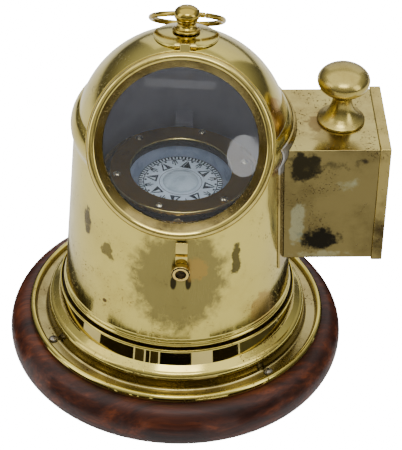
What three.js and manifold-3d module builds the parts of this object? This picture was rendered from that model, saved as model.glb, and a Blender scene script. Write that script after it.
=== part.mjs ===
// A binnacle compass: a gimballed liquid compass in a brass drum with a domed hood, a tilted window,
// an oil lamp box on its side and a turned wooden base. Millimetres, +Z up, the window faces -Y.
import * as THREE from 'three';
import { mergeVertices } from 'three/addons/utils/BufferGeometryUtils.js';
import Module from 'manifold-3d';

const wasm = await Module();
wasm.setup();

// Driving dimensions.
const GAP = 0.3;               // space kept between pieces that touch
const SHEET = 1.2;             // spun and folded brass sheet
const ROUND = 40;              // facets round the large turned pieces
const FINE = 24;               // facets round the middle-sized pieces
const SMALL = 12;              // facets round pins and screws

const BASE_RADIUS = 115;
const BASE_HEIGHT = 32;
const FLANGE_RADIUS = 102;
const LAND_TOP = BASE_HEIGHT + GAP + SHEET;
const STEP_RADIUS = 88.8;
const RISER_RADIUS = 82.5;
const LEDGE_TOP = 57.5;
const FLANGE_SCREW_RADIUS = 93.5;
const FLANGE_SCREW_ANGLES = [-152, -46, 81];

const FOOT_BOTTOM = LEDGE_TOP + GAP;
const DRUM_FOOT_RADIUS = 76.8;
const DRUM_TOP_RADIUS = 72.2;
const SHOULDER_START = 181.5;
const SHOULDER_TOP = 201.4;
const DOME_CENTRE = 182.7;
const DOME_RADIUS = 70.8;
const DOME_BOTTOM = SHOULDER_TOP + GAP;

const WINDOW_CENTRE_Y = -49;
const WINDOW_CENTRE_Z = 206.8;
const WINDOW_TILT = 58.8;      // degrees that the window's face leans back from lying flat
const SEAT_RADIUS = 56.6;      // inside of the fixed sleeve
const LIP_RADIUS = 61.6;
const FRAME_RADIUS = 60.6;
const CLEAR_RADIUS = 50.4;     // the view through the glass
const HINGE_Y = 64;            // in the window's own plane, above its centre
const HINGE_Z = -7;
const HINGE_PIN = 1.0;

const LATCH_X = 3.5;
const LATCH_Z = 126;
const LATCH_FACE_Y = -74.8;
const LATCH_WIDTH = 8;
const LATCH_SCREW = 2;

const FINIAL_LEAN = 11.8;
const DISC_RADIUS = 21.4;
const DISC_OUTER = 72.5;       // measured from the dome's centre, as the next three are
const NECK_HEIGHT = 76.3;
const BALL_HEIGHT = 83.9;
const BALL_RADIUS = 8.8;
const BALL_HALF_HEIGHT = 5.9;
const EYE_RADIUS = 3.1;
const RING_RADIUS = 23.9;
const RING_WIRE = 1.8;
const RING_REST = 41.7;        // degrees below level, lying back on the dome

const LAMP_YAW = 5;
const LAMP_Y = 1;
const BOX_HALF_WIDTH = 35.1;
const BOX_BOTTOM = 101.6;
const BOX_TOP = 191.4;
const BOX_END = 134;
const CAP_START = 127.8;
const CAP_SHEET = 1.0;
const KNOB_X = 105;
const KNOB_RADIUS = 17.5;
const PORT_RADIUS = 24;
const PORT_Z = 146.5;
const TRAY_START = 82;
const TANK_RADIUS = 21;
const TANK_HEIGHT = 22;

const GIMBAL_Z = 144;
const GIMBAL_INNER = 51;
const GIMBAL_OUTER = 54;
const BEZEL_TOP = 152;
const BEZEL_INNER = 34;
const BEZEL_OUTER = 48;
const BOWL_RADIUS = 41;
const BOWL_RIM = 147;
const BOWL_BOTTOM = 104;
const BOWL_SCREW_CIRCLE = 43.7;
const BOWL_SCREW_START = 13;
const CARD_RADIUS = 28.5;
const CARD_TOP = 140;
const FLOAT_RADIUS = 12;

const deg = THREE.MathUtils.degToRad;
const vec2 = (x, y) => new THREE.Vector2(x, y);

// ---- helpers -------------------------------------------------------------------------------

function signedVolume(geometry) {
  const p = geometry.getAttribute('position');
  const index = geometry.getIndex().array;
  const [a, b, c] = [new THREE.Vector3(), new THREE.Vector3(), new THREE.Vector3()];
  let volume = 0;
  for (let i = 0; i < index.length; i += 3) {
    a.fromBufferAttribute(p, index[i]);
    b.fromBufferAttribute(p, index[i + 1]);
    c.fromBufferAttribute(p, index[i + 2]);
    volume += a.dot(b.cross(c)) / 6;
  }
  return volume;
}

// Join shared vertices, drop collapsed faces and turn the faces outwards.
function closed(geometry) {
  const bare = geometry.index ? geometry.toNonIndexed() : geometry.clone();
  bare.deleteAttribute('normal');
  bare.deleteAttribute('uv');
  const merged = mergeVertices(bare, 1e-4);
  const index = merged.getIndex().array;
  const kept = [];
  for (let i = 0; i < index.length; i += 3) {
    const [a, b, c] = [index[i], index[i + 1], index[i + 2]];
    if (a !== b && b !== c && c !== a) kept.push(a, b, c);
  }
  merged.setIndex(kept);
  if (signedVolume(merged) < 0) {
    for (let i = 0; i < kept.length; i += 3) [kept[i], kept[i + 1]] = [kept[i + 1], kept[i]];
    merged.setIndex(kept);
  }
  return merged;
}

function toManifold(geometry) {
  const mesh = closed(geometry);
  return new wasm.Manifold(new wasm.Mesh({
    numProp: 3,
    vertProperties: Float32Array.from(mesh.getAttribute('position').array),
    triVerts: Uint32Array.from(mesh.getIndex().array),
  }));
}

function fromManifold(solid) {
  const mesh = solid.getMesh();
  const geometry = new THREE.BufferGeometry();
  geometry.setAttribute('position', new THREE.BufferAttribute(mesh.vertProperties, 3));
  geometry.setIndex(new THREE.BufferAttribute(mesh.triVerts, 1));
  return geometry;
}

function combine(verb, base, others) {
  let solid = toManifold(base);
  for (const other of others) solid = solid[verb](toManifold(other));
  return fromManifold(solid);
}
const cut = (base, ...others) => combine('subtract', base, others);
const join = (base, ...others) => combine('add', base, others);
const common = (base, ...others) => combine('intersect', base, others);

// A turned solid about Z from [radius, height] points that run in order round its section.
function turned(points, facets = ROUND) {
  const outline = points.map(([r, z]) => vec2(r, z));
  const first = outline[0];
  const last = outline[outline.length - 1];
  const onAxis = first.x === 0 && last.x === 0;
  if (!onAxis) outline.push(first.clone());
  return closed(new THREE.LatheGeometry(outline, facets).rotateX(Math.PI / 2));
}

// Give an open outline a wall: the same line again, moved by the sheet's thickness to its left.
function walled(outline, thickness = SHEET) {
  const inner = outline.map(([r, z], i) => {
    const before = outline[Math.max(i - 1, 0)];
    const after = outline[Math.min(i + 1, outline.length - 1)];
    const along = vec2(after[0] - before[0], after[1] - before[1]).normalize();
    return [Math.max(r - along.y * thickness, 0), z + along.x * thickness];
  });
  return [...outline, ...inner.reverse()];
}

function arc(cx, cz, rx, rz, from, to, steps) {
  const points = [];
  for (let i = 0; i <= steps; i += 1) {
    const t = deg(from + ((to - from) * i) / steps);
    const r = cx + rx * Math.cos(t);
    points.push([Math.abs(r) < 1e-6 ? 0 : r, cz + rz * Math.sin(t)]);
  }
  return points;
}

const tube = (inner, outer, bottom, top, facets = FINE) =>
  turned([[inner, bottom], [outer, bottom], [outer, top], [inner, top]], facets);
const disc = (radius, bottom, top, facets = FINE) =>
  turned([[0, bottom], [radius, bottom], [radius, top], [0, top]], facets);
const alongX = (geometry) => geometry.rotateY(Math.PI / 2);
const alongMinusY = (geometry) => geometry.rotateX(Math.PI / 2);

function nut(radius, bore, bottom, top) {
  return cut(disc(radius, bottom, top, 6), disc(bore, bottom - 1, top + 1, SMALL));
}

function block(x0, x1, y0, y1, z0, z1) {
  const box = new THREE.BoxGeometry(x1 - x0, y1 - y0, z1 - z0);
  return box.translate((x0 + x1) / 2, (y0 + y1) / 2, (z0 + z1) / 2);
}

const finishes = {
  brass: { color: 0xb9a864, roughness: 0.22, metalness: 1 },
  old_brass: { color: 0x6b5524, roughness: 0.35, metalness: 1 },
  rosewood: { color: 0x50281a, roughness: 0.35, metalness: 0 },
  glass: { color: 0xe8eef2, roughness: 0.05, metalness: 0, transparent: true, opacity: 0.3 },
  white_card: { color: 0xdfe6ea, roughness: 0.6, metalness: 0 },
  rubber: { color: 0x15171a, roughness: 0.7, metalness: 0 },
  steel: { color: 0x8f9296, roughness: 0.3, metalness: 1 },
  lead: { color: 0x55585c, roughness: 0.6, metalness: 1 },
  cotton: { color: 0xd9d0b8, roughness: 0.95, metalness: 0 },
};

const model = new THREE.Group();
function add(name, geometry, finish, parent = model) {
  const mesh = new THREE.Mesh(geometry, new THREE.MeshStandardMaterial(finishes[finish]));
  mesh.name = name;
  parent.add(mesh);
  return mesh;
}

// ---- groups that lean or turn --------------------------------------------------------------

const windowGroup = new THREE.Group();
windowGroup.position.set(0, WINDOW_CENTRE_Y, WINDOW_CENTRE_Z);
windowGroup.rotation.x = deg(WINDOW_TILT);
const finialGroup = new THREE.Group();
finialGroup.position.set(0, 0, DOME_CENTRE);
finialGroup.rotation.x = -deg(FINIAL_LEAN);
const lampGroup = new THREE.Group();
lampGroup.position.set(0, LAMP_Y, 0);
lampGroup.rotation.z = deg(LAMP_YAW);
for (const group of [windowGroup, finialGroup, lampGroup]) {
  group.updateMatrix();
  model.add(group);
}

// ---- wooden base and brass flange ----------------------------------------------------------

function screwPlaces() {
  return FLANGE_SCREW_ANGLES.map((angle) => [
    FLANGE_SCREW_RADIUS * Math.cos(deg(angle)),
    FLANGE_SCREW_RADIUS * Math.sin(deg(angle)),
  ]);
}

function drilled(geometry, places, radius, bottom, top) {
  const drills = places.map(([x, y]) => disc(radius, bottom, top, SMALL).translate(x, y, 0));
  return cut(geometry, ...drills);
}

function woodBase() {
  const bulge = 11.5;
  const half = BASE_HEIGHT / 2;
  const side = arc(BASE_RADIUS - bulge, half, bulge, half, -90, 90, 6);
  const body = turned([[0, 0], ...side, [0, BASE_HEIGHT]]);
  return drilled(body, screwPlaces(), 1.9, BASE_HEIGHT - 14, BASE_HEIGHT + 1);
}

function baseFlange() {
  const rimBottom = BASE_HEIGHT + GAP;
  const outline = [
    [FLANGE_RADIUS - 0.6, rimBottom], [FLANGE_RADIUS, rimBottom + 1.9],
    [FLANGE_RADIUS - 0.7, rimBottom + 3.9], [FLANGE_RADIUS - 2.4, rimBottom + 5],
    [FLANGE_RADIUS - 4.1, rimBottom + 4.2], [FLANGE_RADIUS - 4.8, LAND_TOP + 0.6],
    [FLANGE_RADIUS - 5.2, LAND_TOP], [STEP_RADIUS + 1.3, LAND_TOP], [STEP_RADIUS + 0.4, LAND_TOP + 2],
    [STEP_RADIUS, 43.5], [STEP_RADIUS - 1.1, 46.6], [STEP_RADIUS - 3.4, 48.6],
    [RISER_RADIUS, 49.8], [RISER_RADIUS - 0.9, 51.2], [RISER_RADIUS - 1.6, 59.2],
    [RISER_RADIUS - 2.2, 60.1], [RISER_RADIUS - 3, 59.6], [RISER_RADIUS - 3.2, LEDGE_TOP],
    [72, LEDGE_TOP],
  ];
  const underside = [
    [72, LEDGE_TOP - SHEET], [79.4, LEDGE_TOP - SHEET], [81, 49.5], [86.6, 45.4], [88.6, rimBottom],
  ];
  const plate = turned([...outline, ...underside]);
  return drilled(plate, screwPlaces(), 1.9, BASE_HEIGHT, BASE_HEIGHT + 8);
}

// A round-headed wood screw with a slot, its head's seat at z = 0.
function roundHeadScrew(headRadius, headHeight, shankRadius, length, turn) {
  const dome = arc(0, 0, headRadius, headHeight, 0, 90, 2);
  const shank = [[0, -length], [shankRadius, -length + shankRadius], [shankRadius, 0]];
  const body = turned([...shank, ...dome], SMALL);
  const slot = block(-headRadius, headRadius, -0.45, 0.45, headHeight * 0.5, headHeight + 1);
  return cut(body, slot.rotateZ(turn));
}

function addBase() {
  add('wood_base', woodBase(), 'rosewood');
  add('base_flange', baseFlange(), 'brass');
  screwPlaces().forEach(([x, y], i) => {
    const screw = add(`flange_screw_${i + 1}`, roundHeadScrew(3.2, 2.2, 1.6, 12, i), 'steel');
    screw.position.set(x, y, LAND_TOP + GAP);
  });
}

// ---- drum and dome -------------------------------------------------------------------------

// The drum's outside, from its beaded foot to the shoulder's inner edge.
function drumOutline() {
  const foot = [
    [DRUM_FOOT_RADIUS + 0.8, FOOT_BOTTOM], [DRUM_FOOT_RADIUS + 0.8, 60.6],
    [DRUM_FOOT_RADIUS + 1.7, 61.9], [DRUM_FOOT_RADIUS + 0.6, 63.4],
    [DRUM_FOOT_RADIUS + 1.1, 64.8], [DRUM_FOOT_RADIUS, 66.6],
  ];
  const shoulder = [
    [DRUM_TOP_RADIUS, SHOULDER_START], [73.6, 184.6], [74.4, 188.4], [74.1, 192.2],
    [72.9, 195.8], [70.9, 199.2], [68.4, SHOULDER_TOP],
  ];
  return [...foot, ...shoulder];
}

// A solid of the drum's outside, grown by an offset, for trimming what is fixed to it.
function drumEnvelope(offset) {
  const side = drumOutline().filter(([, z]) => z > 66);
  const grown = side.map(([r, z]) => [r + offset, z]);
  return turned([[0, 66], ...grown, [0, SHOULDER_TOP]]);
}

// The room inside the drum and the dome, kept clear of their walls by an inset.
function interior(inset) {
  const side = drumOutline().filter(([r, z]) => z > 66 && r > DOME_RADIUS + 1);
  const walls = side.map(([r, z]) => [r - inset, z]);
  const start = THREE.MathUtils.radToDeg(Math.asin((DOME_BOTTOM - DOME_CENTRE) / DOME_RADIUS));
  const roof = arc(0, DOME_CENTRE, DOME_RADIUS - inset, DOME_RADIUS - inset, start, 90, 6);
  return turned([[0, 66], ...walls, ...roof]);
}

function windowCutter(radius) {
  return disc(radius, -30, 20, ROUND).applyMatrix4(windowGroup.matrix);
}

function lampPortCutter() {
  const drill = alongX(disc(PORT_RADIUS, 60, 90)).translate(0, 0, PORT_Z);
  return drill.applyMatrix4(lampGroup.matrix);
}

function drum() {
  const latchHole = alongMinusY(disc(LATCH_SCREW + 0.3, 60, 90, SMALL)).translate(LATCH_X, 0, LATCH_Z);
  const wall = turned(walled(drumOutline()));
  return cut(wall, windowCutter(SEAT_RADIUS + SHEET + GAP), lampPortCutter(), latchHole);
}

function dome() {
  const start = THREE.MathUtils.radToDeg(Math.asin((DOME_BOTTOM - DOME_CENTRE) / DOME_RADIUS));
  const outer = arc(0, DOME_CENTRE, DOME_RADIUS, DOME_RADIUS, start, 90, 7);
  const inside = DOME_RADIUS - SHEET;
  const inner = arc(0, DOME_CENTRE, inside, inside, 90, start, 7);
  const shell = turned([...outer, ...inner]);
  const stud = disc(2.3, 60, 80, SMALL).applyMatrix4(finialGroup.matrix);
  return cut(shell, windowCutter(SEAT_RADIUS + SHEET + GAP), stud);
}

// ---- window --------------------------------------------------------------------------------

const FRAME_BACK = -3.1;
const SKIRT_BACK = -10.4;

function windowSeat() {
  const lipTop = FRAME_BACK - GAP;
  const outside = SEAT_RADIUS + SHEET;
  const sleeve = turned([
    [SEAT_RADIUS, -21], [outside, -21], [outside, lipTop - SHEET],
    [LIP_RADIUS, lipTop - SHEET], [LIP_RADIUS, lipTop], [SEAT_RADIUS, lipTop],
  ]);
  return cut(sleeve, interior(5).applyMatrix4(windowGroup.matrix.clone().invert()));
}

function knuckle(x0, x1) {
  return alongX(disc(2.2, x0, x1, SMALL)).translate(0, HINGE_Y, HINGE_Z);
}

function hingeBore(radius) {
  return alongX(disc(radius, -9, 9, SMALL)).translate(0, HINGE_Y, HINGE_Z);
}

function windowFrame() {
  const skirt = SEAT_RADIUS - 1;
  const section = [
    [skirt, SKIRT_BACK], [skirt, FRAME_BACK], [58.6, FRAME_BACK], [FRAME_RADIUS, -1.3],
    [FRAME_RADIUS, 0.4], [59.4, 1.7], [57.6, 2.2], [56, 1.6],
    [CLEAR_RADIUS + 0.2, -4.2], [CLEAR_RADIUS, -5.6], [54.6, -5.6], [54.6, SKIRT_BACK],
  ];
  const over = block(-3.1, 3.1, 58.6, HINGE_Y + 2, -2.9, -0.6);
  const down = block(-3.1, 3.1, LIP_RADIUS + 0.5, HINGE_Y + 2, HINGE_Z, -0.6);
  return cut(join(turned(section), over, down, knuckle(-3.1, 3.1)), hingeBore(HINGE_PIN + 0.08));
}

// The fixed leaf stands on the dome between the window's lip and the finial's disc.
function windowHingeLeaf() {
  const toWindow = windowGroup.matrix.clone().invert();
  const foot = block(-7, 7, -11.2, -7.3, 245, 255).applyMatrix4(toWindow);
  const webs = [-7, 3.4].map((x) => block(x, x + 3.6, -11.2, -7.9, 245, 258).applyMatrix4(toWindow));
  const rounds = [knuckle(-7, -3.4), knuckle(3.4, 7)];
  const back = new THREE.SphereGeometry(DOME_RADIUS + GAP, 40, 24).rotateX(Math.PI / 2);
  back.translate(0, 0, DOME_CENTRE).applyMatrix4(toWindow);
  return cut(join(foot, ...webs, ...rounds), back, hingeBore(HINGE_PIN + 0.08));
}

function addWindow() {
  add('window_seat', windowSeat(), 'brass', windowGroup);
  add('window_frame', windowFrame(), 'brass', windowGroup);
  add('window_glass', disc(54.2, -8, -5.9, ROUND), 'glass', windowGroup);
  add('window_gasket', tube(51.2, 54.2, -10.2, -8.3, ROUND), 'rubber', windowGroup);
  add('window_hinge_leaf', windowHingeLeaf(), 'brass', windowGroup);
  const pin = alongX(disc(HINGE_PIN, -7.6, 7.6, SMALL)).translate(0, HINGE_Y, HINGE_Z);
  add('window_hinge_pin', pin, 'brass', windowGroup);
}

// ---- window latch --------------------------------------------------------------------------

// A joggled strip: flat on the drum under the screw, then bent out to stand before the window's rim.
function latchStrip() {
  const side = new THREE.Shape([
    vec2(-76, 118), vec2(LATCH_FACE_Y, 118), vec2(LATCH_FACE_Y, 138), vec2(-77.8, 142.4),
    vec2(-78.4, 151.4), vec2(-79.6, 151.4), vec2(-79, 142), vec2(-76, 137.4),
  ]);
  // The outline is drawn as (y, z) and extruded along x.
  const strip = new THREE.ExtrudeGeometry(side, { depth: LATCH_WIDTH, bevelEnabled: false });
  const basis = new THREE.Matrix4().makeBasis(
    new THREE.Vector3(0, 1, 0),
    new THREE.Vector3(0, 0, 1),
    new THREE.Vector3(1, 0, 0),
  );
  strip.applyMatrix4(basis).translate(LATCH_X - LATCH_WIDTH / 2, 0, 0);
  const hole = alongMinusY(disc(LATCH_SCREW + 0.08, 70, 90, SMALL)).translate(LATCH_X, 0, LATCH_Z);
  return cut(strip, hole);
}

function addLatch() {
  add('latch_strip', latchStrip(), 'brass');
  const headBottom = 76 + GAP;
  const head = [[6.3, headBottom], [6.3, headBottom + 3.8], [5.5, headBottom + 4.8]];
  const shank = [[0, 68.5], [LATCH_SCREW, 68.5], [LATCH_SCREW, headBottom]];
  const dimple = [[3.6, headBottom + 4.8], [2.8, headBottom + 3.4], [0, headBottom + 3.4]];
  const screw = alongMinusY(turned([...shank, ...head, ...dimple], FINE));
  add('latch_screw', screw.translate(LATCH_X, 0, LATCH_Z), 'brass');
  const backing = alongMinusY(nut(4.2, LATCH_SCREW + 0.15, 70, 72.4));
  add('latch_nut', backing.translate(LATCH_X, 0, LATCH_Z), 'brass');
}

// ---- finial and carrying ring --------------------------------------------------------------

function finialDisc() {
  const under = DOME_RADIUS + GAP;
  const spread = (radius) => THREE.MathUtils.radToDeg(Math.acos(DISC_RADIUS / radius));
  const top = arc(0, 0, DISC_OUTER, DISC_OUTER, spread(DISC_OUTER), 90, 3);
  const bottom = arc(0, 0, under, under, 90, spread(under), 3);
  return cut(turned([...top, ...bottom], FINE), disc(2.3, 60, 80, SMALL));
}

function finial() {
  const start = THREE.MathUtils.radToDeg(Math.acos(6.5 / BALL_RADIUS));
  const ball = arc(0, BALL_HEIGHT, BALL_RADIUS, BALL_HALF_HEIGHT, -start, 90, 5);
  const section = [
    [0, 66], [2, 66], [2, DISC_OUTER + GAP], [9.4, DISC_OUTER + GAP], [9.4, 73.6], [7.6, 74.5],
    [6.3, NECK_HEIGHT], [6.5, 78], ...ball,
  ];
  const body = turned(section, 20);
  const eye = alongX(disc(EYE_RADIUS, -12, 12, 16)).translate(0, 0, BALL_HEIGHT);
  return cut(body, eye);
}

// The split ring lies in its own XY plane, its near side threaded through the finial's eye.
function carryRing() {
  const centre = RING_RADIUS - 0.8;
  const split = 30;            // degrees round from the finial
  const opening = 4;
  const points = [];
  for (let i = 0; i <= 28; i += 1) {
    const t = deg(-90 + split + opening / 2 + ((360 - opening) * i) / 28);
    points.push(new THREE.Vector3(RING_RADIUS * Math.cos(t), centre + RING_RADIUS * Math.sin(t), 0));
  }
  const section = new THREE.Shape().absarc(0, 0, RING_WIRE, 0, Math.PI * 2);
  const path = new THREE.CatmullRomCurve3(points);
  const options = { steps: 28, curveSegments: 4, bevelEnabled: false, extrudePath: path };
  return closed(new THREE.ExtrudeGeometry(section, options));
}

function addFinial() {
  add('finial_disc', finialDisc(), 'brass', finialGroup);
  add('finial', finial(), 'brass', finialGroup);
  add('finial_nut', nut(4.4, 2.15, 66, 68.6), 'brass', finialGroup);
  const ring = add('carry_ring', carryRing(), 'brass');
  const lean = deg(FINIAL_LEAN);
  ring.position.set(0, BALL_HEIGHT * Math.sin(lean), DOME_CENTRE + BALL_HEIGHT * Math.cos(lean));
  ring.rotation.x = -deg(RING_REST);
}

// ---- lamp box ------------------------------------------------------------------------------

function inLamp(geometry) {
  return geometry.applyMatrix4(lampGroup.matrix.clone().invert());
}

function lampSaddle() {
  const half = BOX_HALF_WIDTH + 5;
  const band = block(40, 90, -half, half, BOX_BOTTOM - 5, BOX_TOP + 4.6);
  const wall = BOX_HALF_WIDTH - SHEET;
  const mouth = block(30, 95, -wall, wall, BOX_BOTTOM + SHEET, BOX_TOP - SHEET);
  const skin = cut(inLamp(drumEnvelope(1.3)), inLamp(drumEnvelope(GAP)));
  return cut(common(skin, band), mouth);
}

function lampBox() {
  const wall = BOX_HALF_WIDTH - SHEET;
  const outside = block(50, BOX_END, -BOX_HALF_WIDTH, BOX_HALF_WIDTH, BOX_BOTTOM, BOX_TOP);
  const inside = block(40, BOX_END + 10, -wall, wall, BOX_BOTTOM + SHEET, BOX_TOP - SHEET);
  const stud = disc(2.6, BOX_TOP - 10, BOX_TOP + 10, SMALL).translate(KNOB_X, 0, 0);
  return cut(outside, inside, inLamp(drumEnvelope(1.6)), stud);
}

function lampKnob() {
  const z = BOX_TOP + GAP;
  const cap = arc(0, z + 31.5, KNOB_RADIUS, 9.9, 0, 90, 4);
  const section = [
    [0, BOX_TOP - 6], [2.3, BOX_TOP - 6], [2.3, z], [15.9, z], [15.9, z + 1.2], [13.2, z + 3.2],
    [9.4, z + 7], [7, z + 12], [6.3, z + 17], [7, z + 20.5], [11, z + 23.6], [15.4, z + 26.2],
    [17, z + 28.8], ...cap,
  ];
  return turned(section, FINE).translate(KNOB_X, 0, 0);
}

function lampPort() {
  const collar = alongX(tube(PORT_RADIUS + 1, PORT_RADIUS + 4.5, 50, 77)).translate(0, 0, PORT_Z);
  return cut(collar, inLamp(drumEnvelope(GAP)));
}

function lampCap() {
  const inner = BOX_HALF_WIDTH + GAP;
  const outer = inner + CAP_SHEET;
  const end = BOX_END + GAP;
  const shell = block(CAP_START, end + CAP_SHEET, -outer, outer,
    BOX_BOTTOM - GAP - CAP_SHEET, BOX_TOP + GAP + CAP_SHEET);
  return cut(shell, block(CAP_START - 5, end, -inner, inner, BOX_BOTTOM - GAP, BOX_TOP + GAP));
}

const TRAY_FLOOR = BOX_BOTTOM + SHEET + 2 * GAP;

function lampTray() {
  const half = 30;
  const floor = block(TRAY_START, BOX_END, -half, half, TRAY_FLOOR, TRAY_FLOOR + 10);
  const hollow = block(TRAY_START + 1, BOX_END - 1, 1 - half, half - 1, TRAY_FLOOR + 1, TRAY_FLOOR + 20);
  return cut(floor, hollow);
}

function oilTank() {
  const z = TRAY_FLOOR + 1 + GAP;
  const section = [
    [0, z], [TANK_RADIUS - 1, z], [TANK_RADIUS, z + 1], [TANK_RADIUS, z + TANK_HEIGHT - 3],
    [TANK_RADIUS - 3, z + TANK_HEIGHT], [0, z + TANK_HEIGHT],
  ];
  return turned(section, 24).translate(KNOB_X, 0, 0);
}

const TANK_TOP = TRAY_FLOOR + 1 + GAP + TANK_HEIGHT;
const SPINDLE_Z = TANK_TOP + 8;

function burner() {
  const z = TANK_TOP + GAP;
  const section = [
    [3.4, z], [10, z], [10, z + 4], [8.6, z + 5.2], [8.6, z + 11], [6.5, z + 13], [5, z + 20], [3.4, z + 20],
  ];
  const body = turned(section, 20);
  const bore = alongX(disc(1.08, 0, 20, SMALL)).translate(0, 0, SPINDLE_Z);
  return cut(body, bore).translate(KNOB_X, 0, 0);
}

function wickKnob() {
  const spindle = alongX(disc(1, 3.1, 15.5, SMALL));
  const wheel = alongX(disc(5, 15.2, 17.4, 20));
  return join(spindle, wheel).translate(KNOB_X, 0, SPINDLE_Z);
}

function addLampBox() {
  add('lamp_saddle', lampSaddle(), 'brass', lampGroup);
  add('lamp_box', lampBox(), 'brass', lampGroup);
  add('lamp_knob', lampKnob(), 'brass', lampGroup);
  const under = BOX_TOP - SHEET - GAP;
  const backing = nut(5.2, 2.5, under - 3, under);
  add('lamp_knob_nut', backing.translate(KNOB_X, 0, 0), 'brass', lampGroup);
  add('lamp_port_collar', lampPort(), 'brass', lampGroup);
  const pane = alongX(disc(PORT_RADIUS + 4, 77.3, 79.3)).translate(0, 0, PORT_Z);
  add('lamp_pane', pane, 'glass', lampGroup);
  const keeper = alongX(tube(PORT_RADIUS, PORT_RADIUS + 4.5, 79.6, 81)).translate(0, 0, PORT_Z);
  add('lamp_pane_keeper', keeper, 'brass', lampGroup);
}

function addLamp() {
  add('lamp_cap', lampCap(), 'brass', lampGroup);
  add('lamp_tray', lampTray(), 'brass', lampGroup);
  add('oil_tank', oilTank(), 'brass', lampGroup);
  const filler = disc(3.5, TANK_TOP + GAP, TANK_TOP + 5, 16).translate(KNOB_X, 14.2, 0);
  add('filler_cap', filler, 'brass', lampGroup);
  add('burner', burner(), 'brass', lampGroup);
  const wick = disc(3, SPINDLE_Z - 5, TANK_TOP + 25, SMALL).translate(KNOB_X, 0, 0);
  add('wick', wick, 'cotton', lampGroup);
  add('wick_knob', wickKnob(), 'brass', lampGroup);
}

// ---- gimbals -------------------------------------------------------------------------------

const PIN_RADIUS = 2;

function gimbalBracket(side) {
  const arm = block(-6, 6, GIMBAL_OUTER + 2.5, 80, GIMBAL_Z - 5, GIMBAL_Z + 5);
  const foot = block(-6, 6, 68.5, 80, GIMBAL_Z - 12, GIMBAL_Z + 5);
  const body = common(join(arm, foot), disc(71.2, GIMBAL_Z - 20, GIMBAL_Z + 20, 96));
  const hole = alongMinusY(disc(PIN_RADIUS + 0.05, -90, -40, SMALL)).translate(0, 0, GIMBAL_Z);
  return cut(body, hole).rotateZ(side < 0 ? Math.PI : 0);
}

function gimbalRing() {
  const ring = tube(GIMBAL_INNER, GIMBAL_OUTER, GIMBAL_Z - 5, GIMBAL_Z + 3, ROUND);
  const boreY = alongMinusY(disc(PIN_RADIUS + 0.08, -70, 70, SMALL)).translate(0, 0, GIMBAL_Z);
  const boreX = alongX(disc(1.65, -70, 70, SMALL)).translate(0, 0, GIMBAL_Z);
  return cut(ring, boreY, boreX);
}

// A shouldered pin through the ring into the bracket, its head inside the ring.
function gimbalPin(side) {
  const head = [[0, 48.8], [4, 48.8], [4, GIMBAL_INNER - 0.5], [PIN_RADIUS, GIMBAL_INNER - 0.5]];
  const pin = turned([...head, [PIN_RADIUS, 66], [0, 66]], SMALL);
  return alongMinusY(pin).rotateZ(side > 0 ? Math.PI : 0).translate(0, 0, GIMBAL_Z);
}

function bowlPin(side) {
  const pin = turned([[0, 45], [1.6, 45], [1.6, GIMBAL_OUTER + GAP],
    [3.4, GIMBAL_OUTER + GAP], [3.4, GIMBAL_OUTER + 2], [0, GIMBAL_OUTER + 2]], SMALL);
  return alongX(pin).rotateZ(side < 0 ? Math.PI : 0).translate(0, 0, GIMBAL_Z);
}

function addGimbals() {
  const ends = [['front', -1], ['rear', 1]];
  for (const [end, side] of ends) {
    add(`gimbal_bracket_${end}`, gimbalBracket(side), 'old_brass');
    add(`gimbal_pin_${end}`, gimbalPin(side), 'brass');
  }
  add('gimbal_ring', gimbalRing(), 'old_brass');
  add('bowl_pin_left', bowlPin(-1), 'brass');
  add('bowl_pin_right', bowlPin(1), 'brass');
}

// ---- compass bowl --------------------------------------------------------------------------

function bowlScrewPlaces() {
  return [0, 1, 2, 3, 4, 5].map((i) => {
    const t = deg(BOWL_SCREW_START + 60 * i);
    return [BOWL_SCREW_CIRCLE * Math.cos(t), BOWL_SCREW_CIRCLE * Math.sin(t)];
  });
}

function bowl() {
  const wall = 2.4;
  const section = [
    [0, BOWL_BOTTOM], [18, BOWL_BOTTOM], ...arc(24, BOWL_BOTTOM + 17, BOWL_RADIUS - 24, 17, -80, 0, 3),
    [BOWL_RADIUS, BOWL_RIM - 2.6], [45.6, BOWL_RIM - 2.6], [45.6, BOWL_RIM], [BOWL_RADIUS - 3, BOWL_RIM],
    ...arc(24, BOWL_BOTTOM + 17, BOWL_RADIUS - 24 - 3, 17 - wall, 0, -80, 3), [0, BOWL_BOTTOM + wall],
  ];
  const bosses = [-1, 1].map((side) => {
    const boss = disc(3.2, 39.5, GIMBAL_INNER - 0.5, SMALL);
    return alongX(boss).rotateZ(side < 0 ? Math.PI : 0).translate(0, 0, GIMBAL_Z);
  });
  const holes = [-1, 1].map((side) => {
    const hole = disc(1.68, 43.5, 60, SMALL);
    return alongX(hole).rotateZ(side < 0 ? Math.PI : 0).translate(0, 0, GIMBAL_Z);
  });
  const body = cut(join(turned(section), ...bosses), ...holes);
  return drilled(body, bowlScrewPlaces(), 1.3, BOWL_RIM - 5, BOWL_RIM + 1);
}

function bowlBezel() {
  const under = BOWL_RIM + 2.5;
  const section = [
    [BEZEL_INNER, under], [46.2, under], [46.2, GIMBAL_Z + 5.2], [BEZEL_OUTER - 0.2, GIMBAL_Z + 5.2],
    [BEZEL_OUTER, BEZEL_TOP - 0.5], [BEZEL_OUTER - 0.5, BEZEL_TOP], [BEZEL_INNER + 0.6, BEZEL_TOP],
    [BEZEL_INNER, BEZEL_TOP - 0.6],
  ];
  return drilled(turned(section), bowlScrewPlaces(), 1.3, under - 1, BEZEL_TOP + 1);
}

function floatDome() {
  return turned([[0, CARD_TOP + GAP], ...arc(0, CARD_TOP + GAP, FLOAT_RADIUS, 4, 0, 90, 3)], 20);
}

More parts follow.
